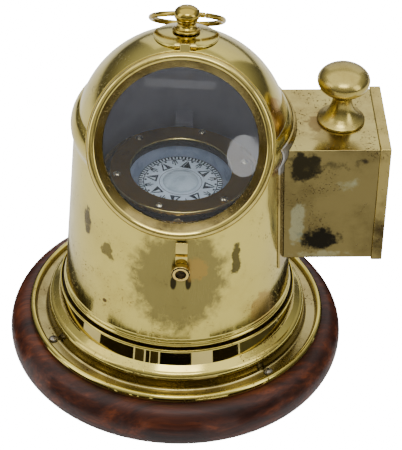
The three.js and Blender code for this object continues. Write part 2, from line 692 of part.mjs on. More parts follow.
function addCompass() {
  add('bowl', bowl(), 'old_brass');
  add('bowl_gasket', tube(34.8, 37.7, BOWL_RIM - 3.2, BOWL_RIM + 0.2, ROUND), 'rubber');
  add('bowl_glass', disc(41.8, BOWL_RIM + 0.5, BOWL_RIM + 2.2, ROUND), 'glass');
  add('bowl_bezel', bowlBezel(), 'old_brass');
  bowlScrewPlaces().forEach(([x, y], i) => {
    const screw = add(`bowl_screw_${i + 1}`, roundHeadScrew(2.6, 1.7, 1.1, 7.2, i * 0.9), 'brass');
    screw.position.set(x, y, BEZEL_TOP + GAP);
  });
  add('bowl_weight', disc(16, BOWL_BOTTOM - 7, BOWL_BOTTOM - GAP, 24), 'lead');
  const floor = BOWL_BOTTOM + 2.4;
  const post = turned([[0, floor + GAP], [6, floor + GAP], [6, floor + 3], [1.4, floor + 5],
    [1.4, CARD_TOP - 6], [0, CARD_TOP - 2.6]], SMALL);
  add('pivot_post', post, 'brass');
  add('card', disc(CARD_RADIUS, CARD_TOP - 0.8, CARD_TOP, ROUND), 'white_card');
  add('float_dome', floatDome(), 'white_card');
  for (const [side, place] of [['left', -9], ['right', 9]]) {
    const bar = block(place - 1.5, place + 1.5, -18, 18, CARD_TOP - 3.2, CARD_TOP - 1.1);
    add(`magnet_${side}`, bar, 'steel');
  }
}

addBase();
add('drum', drum(), 'brass');
add('dome', dome(), 'brass');
addWindow();
addLatch();
addFinial();
addLampBox();
addLamp();
addGimbals();
addCompass();

export default model;
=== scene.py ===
# %% [markdown]
# # A brass binnacle compass
#
# This lesson dresses a finished CAD model of a binnacle compass: a liquid compass in gimbals, inside a
# brass drum with a domed hood, a round tilting window, a lamp box on one side and a turned wooden base.
# The CAD parts say where everything is and how it moves. Here every part that shows gets a smooth,
# rounded mesh of its own and a finish made from shader nodes.

from math import acos, asin, cos, degrees, pi, radians, sin

import bmesh
import bpy
from mathutils import Matrix, Vector


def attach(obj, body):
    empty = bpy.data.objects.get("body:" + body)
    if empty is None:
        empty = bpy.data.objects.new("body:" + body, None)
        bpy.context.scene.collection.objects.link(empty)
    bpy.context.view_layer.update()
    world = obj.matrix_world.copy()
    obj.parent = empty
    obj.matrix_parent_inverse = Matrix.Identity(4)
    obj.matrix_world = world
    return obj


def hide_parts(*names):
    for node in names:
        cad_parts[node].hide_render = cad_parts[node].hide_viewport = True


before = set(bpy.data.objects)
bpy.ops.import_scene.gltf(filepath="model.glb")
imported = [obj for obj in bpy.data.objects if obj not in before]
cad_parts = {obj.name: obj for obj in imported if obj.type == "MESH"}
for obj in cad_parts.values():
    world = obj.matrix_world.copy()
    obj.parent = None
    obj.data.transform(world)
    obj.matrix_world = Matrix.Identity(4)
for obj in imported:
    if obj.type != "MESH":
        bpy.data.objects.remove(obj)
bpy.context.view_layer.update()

# %% [markdown]
# Three parts of the binnacle are set at an angle: the window leans back, the finial follows the dome's
# slope, and the lamp box is turned a little. Each is easiest to model straight, in its own small frame,
# and then to move into place as a whole. These matrices are those moves, in millimetres. The others
# place a line or a point that several pieces share: the latch screw, the hinge pin (in the window's
# frame), the post of the knob and lamp, the lamp's port (both in the lamp's frame) and the gimbals.

# %% Places that pieces share
MM = 0.001
HERE = Matrix.Identity(4)
WINDOW = Matrix.Translation((0, -49, 206.8)) @ Matrix.Rotation(radians(58.8), 4, "X")
FINIAL = Matrix.Translation((0, 0, 182.7)) @ Matrix.Rotation(radians(-11.8), 4, "X")
LAMP = Matrix.Translation((0, 1, 0)) @ Matrix.Rotation(radians(5), 4, "Z")
LATCH = Matrix.Translation((3.5, 0, 126))
HINGE = Matrix.Translation((0, 64, -7))
POST = Matrix.Translation((105, 0, 0))
PORT = Matrix.Translation((0, 0, 146.5))
GIMBAL = Matrix.Translation((0, 0, 144))
RING_EYE = FINIAL @ Vector((0, 0, 83.9))
RING = Matrix.Translation(RING_EYE) @ Matrix.Rotation(radians(-41.7), 4, "X")
print("ring hangs from", [round(c, 1) for c in RING_EYE])

# %% [markdown]
# Nearly every part here is turned on a lathe or spun over a former, so the main tool is a half-section
# swept once round an axis. A real edge is never perfectly sharp, and a tiny rounded edge is what catches
# the light. So each corner of the section can carry a fillet, made with a vertex bevel on the wire
# outline before it is spun. That costs almost no faces and keeps the surface perfectly even.

# %% A lathe for half-sections
def section_wire(points, loop):
    """A wire outline in the XZ plane. Each point is (radius, height) or (radius, height, fillet)."""
    bm = bmesh.new()
    corners = [bm.verts.new((p[0], 0, p[1])) for p in points]
    for a, b in zip(corners, corners[1:]):
        bm.edges.new((a, b))
    if loop:
        bm.edges.new((corners[-1], corners[0]))
    fillets = sorted({p[2] for p in points if len(p) > 2})
    for size in fillets:
        chosen = [v for v, p in zip(corners, points) if len(p) > 2 and p[2] == size]
        bmesh.ops.bevel(bm, geom=chosen, offset=size, offset_type="OFFSET", segments=4, profile=0.5,
                        affect="VERTICES", material=-1)
    return bm


def turned(points, around=160):
    """A turned solid about Z. The outline closes on the axis, or on itself when it stays off the axis."""
    on_axis = points[0][0] == 0 and points[-1][0] == 0
    bm = section_wire(points, not on_axis)
    bmesh.ops.spin(bm, geom=bm.verts[:] + bm.edges[:], axis=(0, 0, 1), cent=(0, 0, 0), angle=2 * pi,
                   steps=around, use_merge=True)
    bmesh.ops.remove_doubles(bm, verts=bm.verts, dist=0.0005)
    bmesh.ops.dissolve_degenerate(bm, edges=bm.edges, dist=0.0001)
    bmesh.ops.recalc_face_normals(bm, faces=bm.faces)
    return bm


def arc(centre_r, centre_z, radius_r, radius_z, start, end, steps):
    """Points along part of an ellipse, for a section."""
    turns = [radians(start + (end - start) * i / steps) for i in range(steps + 1)]
    points = [(centre_r + radius_r * cos(t), centre_z + radius_z * sin(t)) for t in turns]
    return [(0 if abs(r) < 1e-6 else r, z) for r, z in points]


def tube(inner, outer, bottom, top, fillet=0.25, around=160):
    return turned([(inner, bottom, fillet), (outer, bottom, fillet), (outer, top, fillet),
                   (inner, top, fillet)], around)


def disc(radius, bottom, top, fillet=0.25, around=96):
    return turned([(0, bottom), (radius, bottom, fillet), (radius, top, fillet), (0, top)], around)


trial = disc(10, 0, 2)
print("a filleted disc has", len(trial.faces), "faces")
trial.free()

# %% [markdown]
# Folded and sawn parts start from a box. Holes and curved cuts are made as in the workshop, by taking one
# solid away from another: the Boolean modifier does it, and its result is read back at once as a mesh.

# %% Boxes, cuts and joins
def box(x0, x1, y0, y1, z0, z1, round_edges=0.0, along="XYZ"):
    bm = bmesh.new()
    bmesh.ops.create_cube(bm, size=1)
    bmesh.ops.scale(bm, vec=(x1 - x0, y1 - y0, z1 - z0), verts=bm.verts)
    bmesh.ops.translate(bm, vec=((x0 + x1) / 2, (y0 + y1) / 2, (z0 + z1) / 2), verts=bm.verts)
    if round_edges:
        axes = [Vector(["XYZ".index(a) == i for i in range(3)]) for a in along]
        chosen = [e for e in bm.edges
                  if any(abs((e.verts[1].co - e.verts[0].co).normalized().dot(a)) > 0.9 for a in axes)]
        bmesh.ops.bevel(bm, geom=chosen, offset=round_edges, segments=3, profile=0.5, affect="EDGES",
                        material=-1)
    return bm


def moved(bm, matrix):
    bmesh.ops.transform(bm, matrix=matrix, verts=bm.verts)
    return bm


def along_x(bm):
    return moved(bm, Matrix.Rotation(radians(90), 4, "Y"))


def along_minus_y(bm):
    return moved(bm, Matrix.Rotation(radians(90), 4, "X"))


def facing(bm, turn):
    return moved(bm, Matrix.Rotation(turn, 4, "Z"))


def linked(name, bm):
    """Turns a bmesh into an object of the scene."""
    mesh = bpy.data.meshes.new(name)
    bm.to_mesh(mesh)
    bm.free()
    obj = bpy.data.objects.new(name, mesh)
    bpy.context.scene.collection.objects.link(obj)
    return obj


def combined(bm, tools, operation="DIFFERENCE"):
    """Cuts the tools from the solid, or joins them to it."""
    target = linked("workpiece", bm)
    cutters = [linked("workpiece", t) for t in tools]
    for cutter in cutters:
        step = target.modifiers.new("combine", "BOOLEAN")
        step.operation = operation
        step.solver = "EXACT"
        step.object = cutter
    bpy.context.view_layer.update()
    mesh = bpy.data.meshes.new_from_object(target.evaluated_get(bpy.context.evaluated_depsgraph_get()))
    result = bmesh.new()
    result.from_mesh(mesh)
    for obj in [target, *cutters]:
        spare = obj.data
        bpy.data.objects.remove(obj)
        bpy.data.meshes.remove(spare)
    bpy.data.meshes.remove(mesh)
    bmesh.ops.remove_doubles(result, verts=result.verts, dist=0.002)
    bmesh.ops.dissolve_degenerate(result, edges=result.edges, dist=0.001)
    return result


# %% [markdown]
# A finished mesh becomes an object that sits at the origin, rides on its CAD body, and stands in for its
# CAD node. Faces meet smoothly unless the angle between them is a real edge. Weighted normals let the big
# flat faces stay flat beside their small rounded edges, which matters most on glass and mirror-like metal.


def piece(name, bm, body, material, where=HERE, hides=None, edge_angle=34):
    moved(bm, Matrix.Scale(MM, 4) @ where)
    for face in bm.faces:
        face.smooth = True
    for edge in bm.edges:
        edge.smooth = edge.calc_face_angle(0) < radians(edge_angle)
    obj = linked(name, bm)
    for m in material if isinstance(material, list) else [material]:
        obj.data.materials.append(m)
    even = obj.modifiers.new("even shading", "WEIGHTED_NORMAL")
    even.keep_sharp = True
    even.weight = 60
    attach(obj, body)
    if hides != ():
        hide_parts(*(hides or [name.removesuffix("_piece")]))
    return obj


def paint(bm, choose):
    """Gives each face the material number that choose(middle, reach from the axis, normal) works out."""
    for face in bm.faces:
        middle = face.calc_center_median()
        face.material_index = int(choose(middle, middle.xy.length, face.normal))


# %% [markdown]
# ## Finishes
#
# Shader trees are easier to read when a node and its inputs are written on one line, so a small helper
# places a node, sets its options, and fills each input with a number, a colour or a link.

# %% Node helpers
def fill(tree, node, inputs):
    """Links a socket to each named input, or sets its value."""
    for key, value in inputs.items():
        if isinstance(value, bpy.types.NodeSocket):
            tree.links.new(value, node.inputs[key])
        else:
            node.inputs[key].default_value = value


def put(tree, kind, inputs=None, **options):
    node = tree.nodes.new(kind)
    for key, value in options.items():
        setattr(node, key, value)
    fill(tree, node, inputs or {})
    return node


def maths(tree, operation, a, b, limit=False):
    return put(tree, "ShaderNodeMath", {0: a, 1: b}, operation=operation, use_clamp=limit).outputs[0]


def plus(tree, a, b, limit=False):
    return maths(tree, "ADD", a, b, limit)


def minus(tree, a, b):
    return maths(tree, "SUBTRACT", a, b)


def times(tree, a, b):
    return maths(tree, "MULTIPLY", a, b)


def step_between(tree, value, low, high, to_low=0.0, to_high=1.0):
    return put(tree, "ShaderNodeMapRange", {"Value": value, "From Min": low, "From Max": high,
                                            "To Min": to_low, "To Max": to_high},
               interpolation_type="SMOOTHSTEP").outputs["Result"]


def blend_colours(tree, share, first, second):
    return put(tree, "ShaderNodeMix", {0: share, 6: first, 7: second}, data_type="RGBA").outputs[2]


def noise(tree, place, scale, detail=4.0, rough=0.55, stretch=None):
    if stretch:
        place = put(tree, "ShaderNodeVectorMath", {0: place, 1: stretch}, operation="MULTIPLY").outputs[0]
    return put(tree, "ShaderNodeTexNoise", {"Vector": place, "Scale": scale, "Detail": detail,
                                            "Roughness": rough}).outputs["Fac"]


def new_group(name, inputs, outputs):
    group = bpy.data.node_groups.new(name, "ShaderNodeTree")
    kinds = {"vector": "NodeSocketVector", "colour": "NodeSocketColor", "number": "NodeSocketFloat"}
    for label, kind in inputs:
        group.interface.new_socket(name=label, in_out="INPUT", socket_type=kinds[kind])
    for label, kind in outputs:
        group.interface.new_socket(name=label, in_out="OUTPUT", socket_type=kinds[kind])
    start = group.nodes.new("NodeGroupInput").outputs
    end = group.nodes.new("NodeGroupOutput")
    return group, start, end


# %% [markdown]
# Polished brass that has been handled for years is mirror-bright in places and clouded in others. Moisture
# leaves brown specks, and wiping leaves fine lines. All the brass parts share this, so it is one node
# group: each material gives it its own colours and amounts. It reads the object's own coordinates, so the
# marks stay where they are when a part moves.

# %% The aged brass group
brass_group, given, result = new_group(
    "aged brass",
    [("Place", "vector"), ("Bright", "colour"), ("Dull", "colour"), ("Cloud", "number"),
     ("Specks", "number"), ("Polish", "number"), ("Wiping", "number")],
    [("Colour", "colour"), ("Roughness", "number"), ("Height", "number")])
tree, spot = brass_group, given["Place"]
clouds = times(tree, step_between(tree, noise(tree, spot, 28, 6, 0.62), 0.42, 0.72), given["Cloud"])
clumps = step_between(tree, noise(tree, spot, 55, 3), 0.48, 0.66)
dots = step_between(tree, noise(tree, spot, 620, 2, 0.5), 0.60, 0.68)
dots = times(tree, times(tree, dots, clumps), given["Specks"])
lines = noise(tree, spot, 1, 3, 0.6, stretch=(700, 700, 26))
lines = times(tree, minus(tree, lines, 0.5), given["Wiping"])
waves = noise(tree, spot, 34, 1, 0.4)
tone = blend_colours(tree, clouds, given["Bright"], given["Dull"])
tone = blend_colours(tree, dots, tone, (0.075, 0.040, 0.016, 1))
rough = plus(tree, given["Polish"], times(tree, clouds, 0.16))
rough = plus(tree, rough, times(tree, dots, 0.4))
rough = plus(tree, rough, times(tree, lines, 0.30), True)
depth = plus(tree, times(tree, waves, 0.5), times(tree, lines, 0.05))
depth = minus(tree, depth, times(tree, dots, 0.25))
fill(tree, result, {"Colour": tone, "Roughness": rough, "Height": depth})
print("aged brass uses", len(brass_group.nodes), "nodes")

# %% [markdown]
# Some marks sit in one place: an orange heat stain by the solder joint, and a painted reflection of the dark
# camera and photographer under the window. A mark is a soft blob round a centre, with its edge broken up by
# noise.

# %% The group for stains and painted reflections
# The same soft blob also places painted reflections, such as the camera's dark shape mirrored in the drum.
stain_and_reflection_group, given, result = new_group(
    "stain", [("Place", "vector"), ("Centre", "vector"), ("Size", "vector"), ("Ragged", "number")],
    [("Mask", "number")])
tree, spot = stain_and_reflection_group, given["Place"]
offset = put(tree, "ShaderNodeVectorMath", {0: spot, 1: given["Centre"]}, operation="SUBTRACT").outputs[0]
share = put(tree, "ShaderNodeVectorMath", {0: offset, 1: given["Size"]}, operation="DIVIDE").outputs[0]
far = put(tree, "ShaderNodeVectorMath", {0: share}, operation="LENGTH").outputs["Value"]
breakup = minus(tree, noise(tree, spot, 130, 5, 0.65), 0.5)
far = plus(tree, far, times(tree, breakup, given["Ragged"]))
tree.links.new(step_between(tree, far, 0.7, 1.05, 1.0, 0.0), result.inputs["Mask"])
print("stain uses", len(stain_and_reflection_group.nodes), "nodes")

# %% [markdown]
# A brass material is the group, any stains and painted reflections on top, and one Principled shader that is
# fully metallic.

# %% Brass materials
def blank_material(name):
    m = bpy.data.materials.new(name)
    m.use_nodes = True
    tree = m.node_tree
    shader = tree.nodes["Principled BSDF"]
    place = put(tree, "ShaderNodeTexCoord").outputs["Object"]
    return m, tree, shader, place


def bump_into(tree, shader, height, distance, strength=1.0):
    bump = put(tree, "ShaderNodeBump", {"Height": height, "Distance": distance, "Strength": strength})
    tree.links.new(bump.outputs["Normal"], shader.inputs["Normal"])


GOLD, TAN = (0.55, 0.455, 0.115), (0.33, 0.235, 0.052)


def brass(name, bright, dull, cloud, specks, polish, wiping, waviness, stains_and_reflections=()):
    """Waviness is in mm. Each mark, stains and painted reflections alike, is (centre mm, size mm, colour and
    strength, raggedness, roughness).
    """
    m, tree, shader, place = blank_material(name)
    g = put(tree, "ShaderNodeGroup", {
        "Place": place, "Bright": (*bright, 1), "Dull": (*dull, 1), "Cloud": cloud, "Specks": specks,
        "Polish": polish, "Wiping": wiping}, node_tree=brass_group)
    colour, rough = g.outputs["Colour"], g.outputs["Roughness"]
    for centre, size, shade, ragged, extra in stains_and_reflections:
        s = put(tree, "ShaderNodeGroup", {
            "Place": place, "Centre": [c * MM for c in centre], "Size": [c * MM for c in size],
            "Ragged": ragged}, node_tree=stain_and_reflection_group)
        strength = times(tree, s.outputs["Mask"], shade[3])
        colour = blend_colours(tree, strength, colour, (*shade[:3], 1))
        rough = plus(tree, rough, times(tree, s.outputs["Mask"], extra), True)
    fill(tree, shader, {"Base Color": colour, "Roughness": rough, "Metallic": 1})
    bump_into(tree, shader, g.outputs["Height"], waviness * MM)
    return m


bright_turned = brass("bright turned brass", (0.54, 0.42, 0.10), TAN, 0.25, 0.15, 0.07, 0.1, 0.1)
flange_brass = brass("flange brass", GOLD, TAN, 0.6, 1.0, 0.12, 0.1, 0.3)
box_brass = brass("lamp box brass", (0.60, 0.48, 0.20), (0.34, 0.24, 0.09), 0.9, 0.5, 0.13, 0.25, 1.6)
dark_brass = brass("old brown brass", (0.36, 0.25, 0.09), (0.20, 0.12, 0.04), 0.8, 0.6, 0.26, 0.1, 0.1)
print("brass materials ready")

# %% [markdown]
# The base is turned from rosewood. Its growth layers run straight across the disc, so they show as dark
# and red streaks along X, bent a little by noise, with short black pores between them. Satin varnish gives
# a soft shine, which is the shader's coat.

# %% Rosewood
rosewood, tree, shader, place = blank_material("rosewood")
grain_turn = (0, radians(6), radians(-14))
spot = put(tree, "ShaderNodeMapping", {"Vector": place, "Rotation": grain_turn}).outputs[0]
sway = noise(tree, spot, 9, 2)
bent = put(tree, "ShaderNodeVectorMath", {0: spot, 1: put(tree, "ShaderNodeCombineXYZ", {
    "Y": times(tree, sway, 0.05), "Z": times(tree, sway, 0.03)}).outputs[0]},
    operation="ADD").outputs[0]
layers = noise(tree, bent, 1, 6, 0.66, stretch=(5, 95, 110))
fibres = noise(tree, bent, 1, 4, 0.6, stretch=(22, 520, 520))
pores = step_between(tree, noise(tree, bent, 1, 2, 0.5, stretch=(70, 1100, 1100)), 0.64, 0.72)
ramp = put(tree, "ShaderNodeValToRGB", {"Fac": layers})
stops = [(0.30, (0.008, 0.0028, 0.002)), (0.44, (0.026, 0.0070, 0.0035)), (0.54, (0.056, 0.0130, 0.0045)),
         (0.66, (0.125, 0.0285, 0.0075)), (0.78, (0.042, 0.0100, 0.0045))]
ramp.color_ramp.elements[0].position, ramp.color_ramp.elements[0].color = stops[0][0], (*stops[0][1], 1)
ramp.color_ramp.elements[1].position, ramp.color_ramp.elements[1].color = stops[-1][0], (*stops[-1][1], 1)
for at, shade in stops[1:-1]:
    ramp.color_ramp.elements.new(at).color = (*shade, 1)
tone = blend_colours(tree, step_between(tree, fibres, 0.35, 0.7, 0.0, 0.45), ramp.outputs["Color"],
                     (0.030, 0.009, 0.006, 1))
tone = blend_colours(tree, times(tree, pores, 0.7), tone, (0.008, 0.003, 0.003, 1))
fill(tree, shader, {"Base Color": tone, "Roughness": step_between(tree, fibres, 0.3, 0.7, 0.40, 0.52),
                    "Specular IOR Level": 0.22, "Coat Weight": 0.06, "Coat Roughness": 0.25})
bump_into(tree, shader, minus(tree, fibres, pores), 0.00008)
print("rosewood has", len(ramp.color_ramp.elements), "colour stops")

# %% [markdown]
# The other finishes are plainer: grey paint inside the hood, white enamel inside the bowl, clear glass,
# black rubber, plated screws, cast lead, ground steel and woven cotton. Each still gets some life from
# noise in its colour, roughness or bump, because nothing real is perfectly even.

# %% Plain finishes
def plain(name, dark, light, scale, rough=(0.4, 0.6), metal=0.0, bump=0.00005, stretch=None, coat=0.0):
    m, tree, shader, place = blank_material(name)
    grain = noise(tree, place, scale, 5, 0.6, stretch)
    share = step_between(tree, grain, 0.35, 0.68)
    fill(tree, shader, {"Base Color": blend_colours(tree, share, (*dark, 1), (*light, 1)),
                        "Roughness": step_between(tree, grain, 0.3, 0.7, *rough),
                        "Metallic": metal, "Coat Weight": coat})
    bump_into(tree, shader, grain, bump)
    return m


hood_paint = plain("grey hood paint", (0.29, 0.295, 0.36), (0.38, 0.385, 0.455), 26, (0.34, 0.46),
                   coat=0.15)
enamel = plain("white bowl enamel", (0.50, 0.59, 0.74), (0.68, 0.76, 0.88), 60, (0.22, 0.34))
card_white = plain("compass card white", (0.66, 0.74, 0.78), (0.78, 0.85, 0.88), 240, (0.40, 0.5))
card_ink = plain("compass card ink", (0.004, 0.006, 0.009), (0.012, 0.016, 0.022), 500, (0.6, 0.7))
card_ink.node_tree.nodes["Principled BSDF"].inputs["Specular IOR Level"].default_value = 0.08
float_white = plain("float enamel", (0.55, 0.64, 0.67), (0.70, 0.78, 0.80), 120, (0.25, 0.35))
rubber = plain("black rubber", (0.006, 0.006, 0.008), (0.016, 0.016, 0.020), 700, (0.55, 0.75))
plated = plain("plated screw", (0.11, 0.095, 0.07), (0.34, 0.31, 0.25), 420, (0.22, 0.45), metal=1)
grimy_screw = plain("grimy brass screw", (0.18, 0.12, 0.05), (0.60, 0.50, 0.28), 520, (0.2, 0.5), metal=1)
lead = plain("cast lead", (0.09, 0.095, 0.105), (0.17, 0.175, 0.185), 260, (0.5, 0.7), metal=1,
             bump=0.0002)
ground_steel = plain("ground steel", (0.20, 0.21, 0.23), (0.34, 0.35, 0.37), 1, (0.25, 0.4), metal=1,
                     stretch=(900, 30, 900))
cotton = plain("cotton wick", (0.45, 0.40, 0.30), (0.78, 0.73, 0.60), 900, (0.85, 0.95), bump=0.0003)

# %% [markdown]
# Window glass is thin and clear, so it is a shader with full transmission and almost no roughness. A faint
# film of dust makes its roughness uneven, which is what lets a pane catch the light. Cycles treats glass as
# solid for shadows, so shadow rays pass through a plain transparent shader and the card inside is lit.

# %% Glass
def clear_glass(name, tint):
    m, tree, shader, place = blank_material(name)
    film = noise(tree, place, 40, 4, 0.6)
    fill(tree, shader, {"Roughness": step_between(tree, film, 0.45, 0.8, 0.0, 0.05), "Metallic": 0,
                        "Base Color": (*tint, 1), "Transmission Weight": 1, "IOR": 1.45})
    through = put(tree, "ShaderNodeBsdfTransparent", {"Color": (*tint, 1)})
    shadow_ray = put(tree, "ShaderNodeLightPath").outputs["Is Shadow Ray"]
    both = put(tree, "ShaderNodeMixShader", {0: shadow_ray, 1: shader.outputs["BSDF"],
                                             2: through.outputs["BSDF"]})
    tree.links.new(both.outputs["Shader"], tree.nodes["Material Output"].inputs["Surface"])
    return m


window_pane = clear_glass("clear window glass", (0.93, 0.95, 0.98))
bowl_pane = clear_glass("clear bowl glass", (0.97, 0.985, 1.0))
print("materials:", len(bpy.data.materials))

# %% [markdown]
# ## Wooden base and brass flange
#
# The base is a plain disc with a full bulged edge. The flange that crowns it is spun from sheet: a beaded
# rim, a flat land for three screws, a step with a rounded top, and a short riser that holds the drum.

# %% Wooden base
edge = [(r, z) for r, z in arc(103.5, 16, 11.5, 16, -90, 90, 28)]
base = turned([(0, 0), *edge, (0, 32)], 192)
piece("wood_base_piece", base, "binnacle", rosewood)

# %% Base flange
flange_section = [
    (101.4, 32.3, 0.3), (102.0, 34.2, 0.9), (101.3, 36.2, 0.9), (99.6, 37.2, 0.8), (98.0, 36.6, 0.7),
    (97.1, 35.0, 0.5), (96.7, 33.5, 0.3), (90.3, 33.5, 0.9), (89.3, 35.6, 0.9), (88.8, 42.0, 1.1),
    (87.7, 44.7, 1.2), (85.2, 46.0, 0.9), (82.9, 46.6, 0.4), (82.1, 47.6, 0.4), (81.05, 58.9, 0.4),
    (80.4, 60.1, 0.5), (79.6, 59.6, 0.3), (79.3, 57.5, 0.2), (72.2, 57.5, 0.2),
    (72.2, 56.3, 0.2), (79.2, 56.3, 0.2), (80.4, 49.6, 0.3), (86.4, 45.2, 0.5), (88.0, 32.3, 0.2),
]
flange = turned(flange_section, 192)
FLANGE_BRASS, LAND, STEP_WALL, GUTTER, RISER = range(5)


def flange_finish(middle, reach, _):
    if 80.9 < reach < 82.2 and 48.5 < middle.z < 58.4:
        return RISER
    if reach < 79.7 and 57 < middle.z < 59.5:
        return GUTTER
    if 88.6 < reach < 89.9 and 34 < middle.z < 42.5:
        return STEP_WALL
    return LAND if 88.9 < reach < 97.5 and 33 < middle.z < 36 else FLANGE_BRASS


paint(flange, flange_finish)
land_brass = brass("pitted flange land", (0.40, 0.33, 0.13), (0.21, 0.155, 0.055), 0.9, 1.6, 0.2, 0.1, 0.4)
# The step wall gets a darker copy of the brass: a painted dark reflection.
step_wall_painted_reflection = brass("step wall with painted dark reflection", (0.26, 0.21, 0.07), (0.10, 0.075, 0.022), 0.9, 0.8, 0.12, 0.1,
                   0.3)
riser_brass = brass("mirror-bright riser", (0.46, 0.38, 0.13), (0.34, 0.26, 0.08), 0.3, 0.2, 0.03, 0.05,
                    0.1)
# Black painted shade for the gutter under the drum's foot, the shadow gap between riser and drum; the latch
# head and bezel use it too.
painted_shade = plain("black painted shade", (0.010, 0.008, 0.005), (0.060, 0.042, 0.018), 500, (0.35, 0.6), metal=1)
piece("base_flange_piece", flange, "binnacle",
      [flange_brass, land_brass, step_wall_painted_reflection, painted_shade, riser_brass])
print("flange section has", len(flange_section), "corners")

# %% [markdown]
# Round-headed screws are a shallow dome on a short shank with a sawn slot. One function makes them all.

# %% Screws
def round_head(head, height, shank, length, slot_turn):
    dome = arc(0, 0, head, height, 0, 90, 7)
    bm = turned([(0, -length), (shank * 0.5, -length), (shank, -length + shank), (shank, 0), *dome], 40)
    slot = box(-head * 1.2, head * 1.2, -0.42, 0.42, height * 0.45, height + 1)
    return combined(bm, [facing(slot, slot_turn)])


for i, angle in enumerate((-152, -46, 81)):
    spot = Matrix.Translation((93.5 * cos(radians(angle)), 93.5 * sin(radians(angle)), 33.85))
    piece(f"flange_screw_{i + 1}_piece", round_head(3.2, 2.1, 1.6, 12, i), "binnacle",
          plated, where=spot)
print("flange screws placed")

# %% [markdown]
# ## Drum and dome
#
# The drum is a straight cone with a beaded foot and a rolled shoulder. The dome is part of a sphere that
# drops inside the shoulder. Both are thin shells. The window's sleeve and the lamp's port are cut through
# them, and the inside is painted grey so that it doesn't glare behind the glass.

# %% Drum
drum_outside = [
    (77.6, 57.8, 0.3), (77.6, 60.4, 0.5), (78.5, 61.8, 0.8), (77.4, 63.3, 0.3), (77.9, 64.7, 0.6),
    (76.8, 66.5, 0.6), (72.2, 181.0, 1.2), (73.5, 184.4, 1.6), (74.35, 188.4, 1.8), (74.1, 192.2, 1.6),
    (72.9, 195.8, 1.6), (70.9, 199.1, 1.4), (68.4, 201.3, 0.3),
]
drum_inside = [
    (67.6, 200.4, 0.2), (70.0, 198.3, 1.2), (71.8, 195.2, 1.4), (72.9, 191.9, 1.4), (73.1, 188.5, 1.4),
    (72.3, 184.9, 1.2), (71.0, 181.2, 1.0), (75.6, 66.4, 0.6), (76.4, 57.8, 0.2),
]


def paint_inside(bm, centre_height):
    """Faces that look towards a point on the axis take the second material. Returns how many."""
    def looks_in(middle, reach, normal):
        outward = normal.x * middle.x + normal.y * middle.y + normal.z * (middle.z - centre_height)
        return -outward > 0 and reach < 75.9 and middle.z > 60

    paint(bm, looks_in)
    return sum(face.material_index for face in bm.faces)


def window_hole(radius):
    return moved(disc(radius, -34, 24, 0, 128), WINDOW)


def outside_profile(offset):
    return [(0, 66)] + [(r + offset, z) for r, z, _ in drum_outside[5:]] + [(0, 201.3)]


port_drill = moved(along_x(disc(24.2, 60, 90, 0)), LAMP @ PORT)
latch_drill = moved(along_minus_y(disc(2.3, 60, 90, 0, 24)), LATCH)
shell = turned(drum_outside + drum_inside, 192)
shell = combined(shell, [window_hole(57.95), port_drill, latch_drill])
print("painted faces in the drum:", paint_inside(shell, 130))

drum_stains_and_reflections = [
    # The first mark is a painted reflection: the dark camera and photographer mirrored in the drum under the
    # window.
    ((2, -76, 116), (36, 40, 46), (0.15, 0.122, 0.042, 0.85), 0.8, 0.16),
    ((58, -48, 75), (14, 16, 14), (0.28, 0.145, 0.03, 0.6), 2.0, 0.06),
    ((67, -28, 184), (9, 18, 12), (0.25, 0.11, 0.015, 0.8), 1.6, 0.05),
    ((-60, -44, 139), (3.5, 6, 11), (0.05, 0.035, 0.012, 0.9), 2.6, 0.1),
    ((-46, -60, 126), (5, 5, 9), (0.07, 0.052, 0.018, 0.8), 3.0, 0.1),
    ((40, -64, 128), (3.4, 5, 15), (0.05, 0.04, 0.014, 0.9), 2.4, 0.1),
    ((-47, -60, 84), (1.8, 3, 1.8), (0.06, 0.03, 0.01, 0.9), 0.9, 0.2),
    # These two dark marks are painted reflections of the latch, mirrored in the drum below its screw.
    ((8.6, -75, 114), (2.2, 6, 6.2), (0.008, 0.006, 0.004, 0.9), 0.7, 0.1),
    ((-1.2, -75, 114), (2.2, 6, 6.2), (0.008, 0.006, 0.004, 0.9), 0.7, 0.1),
    ((14, -74, 125), (8, 10, 11), (0.36, 0.21, 0.045, 0.5), 2.0, 0.05),
]
drum_brass = brass("drum brass with painted reflections", GOLD, TAN, 0.35, 0.35, 0.13, 0.55, 0.9, drum_stains_and_reflections)
piece("drum_piece", shell, "binnacle", [drum_brass, hood_paint])

# %% Dome
def cap_section(outer, inner, low):
    start = degrees(asin((low - 182.7) / outer))
    return arc(0, 182.7, outer, outer, start, 90, 44), arc(0, 182.7, inner, inner, 90, start, 40)


outer_line, inner_line = cap_section(70.8, 69.6, 201.7)
hood = turned([*outer_line, *inner_line], 192)
stud_drill = moved(disc(2.3, 60, 80, 0, 24), FINIAL)
hood = combined(hood, [window_hole(57.95), stud_drill])
print("painted faces in the dome:", paint_inside(hood, 182.7))
dome_marks = [
    ((62, -20, 212), (9, 16, 15), (0.33, 0.165, 0.03, 0.8), 1.8, 0.05),
    ((-54, -32, 219), (5, 7, 5), (0.07, 0.05, 0.02, 0.8), 2.2, 0.1),
    ((23, -14, 247), (7, 3, 4), (0.16, 0.12, 0.06, 0.7), 1.4, 0.1),
]
dome_brass = brass("dome brass", GOLD, TAN, 0.30, 0.30, 0.14, 0.15, 0.9, dome_marks)
piece("dome_piece", hood, "binnacle", [dome_brass, hood_paint])

# %% [markdown]
# ## Window
#
# A fixed sleeve is soldered into the hood, with a thin lip. The hinged frame sits on the lip: a rounded
# crest outside and a conical reveal that leads the eye down to the glass. A gasket holds the glass from
# behind. Sleeve, frame and glass are turned straight, then leaned back together.

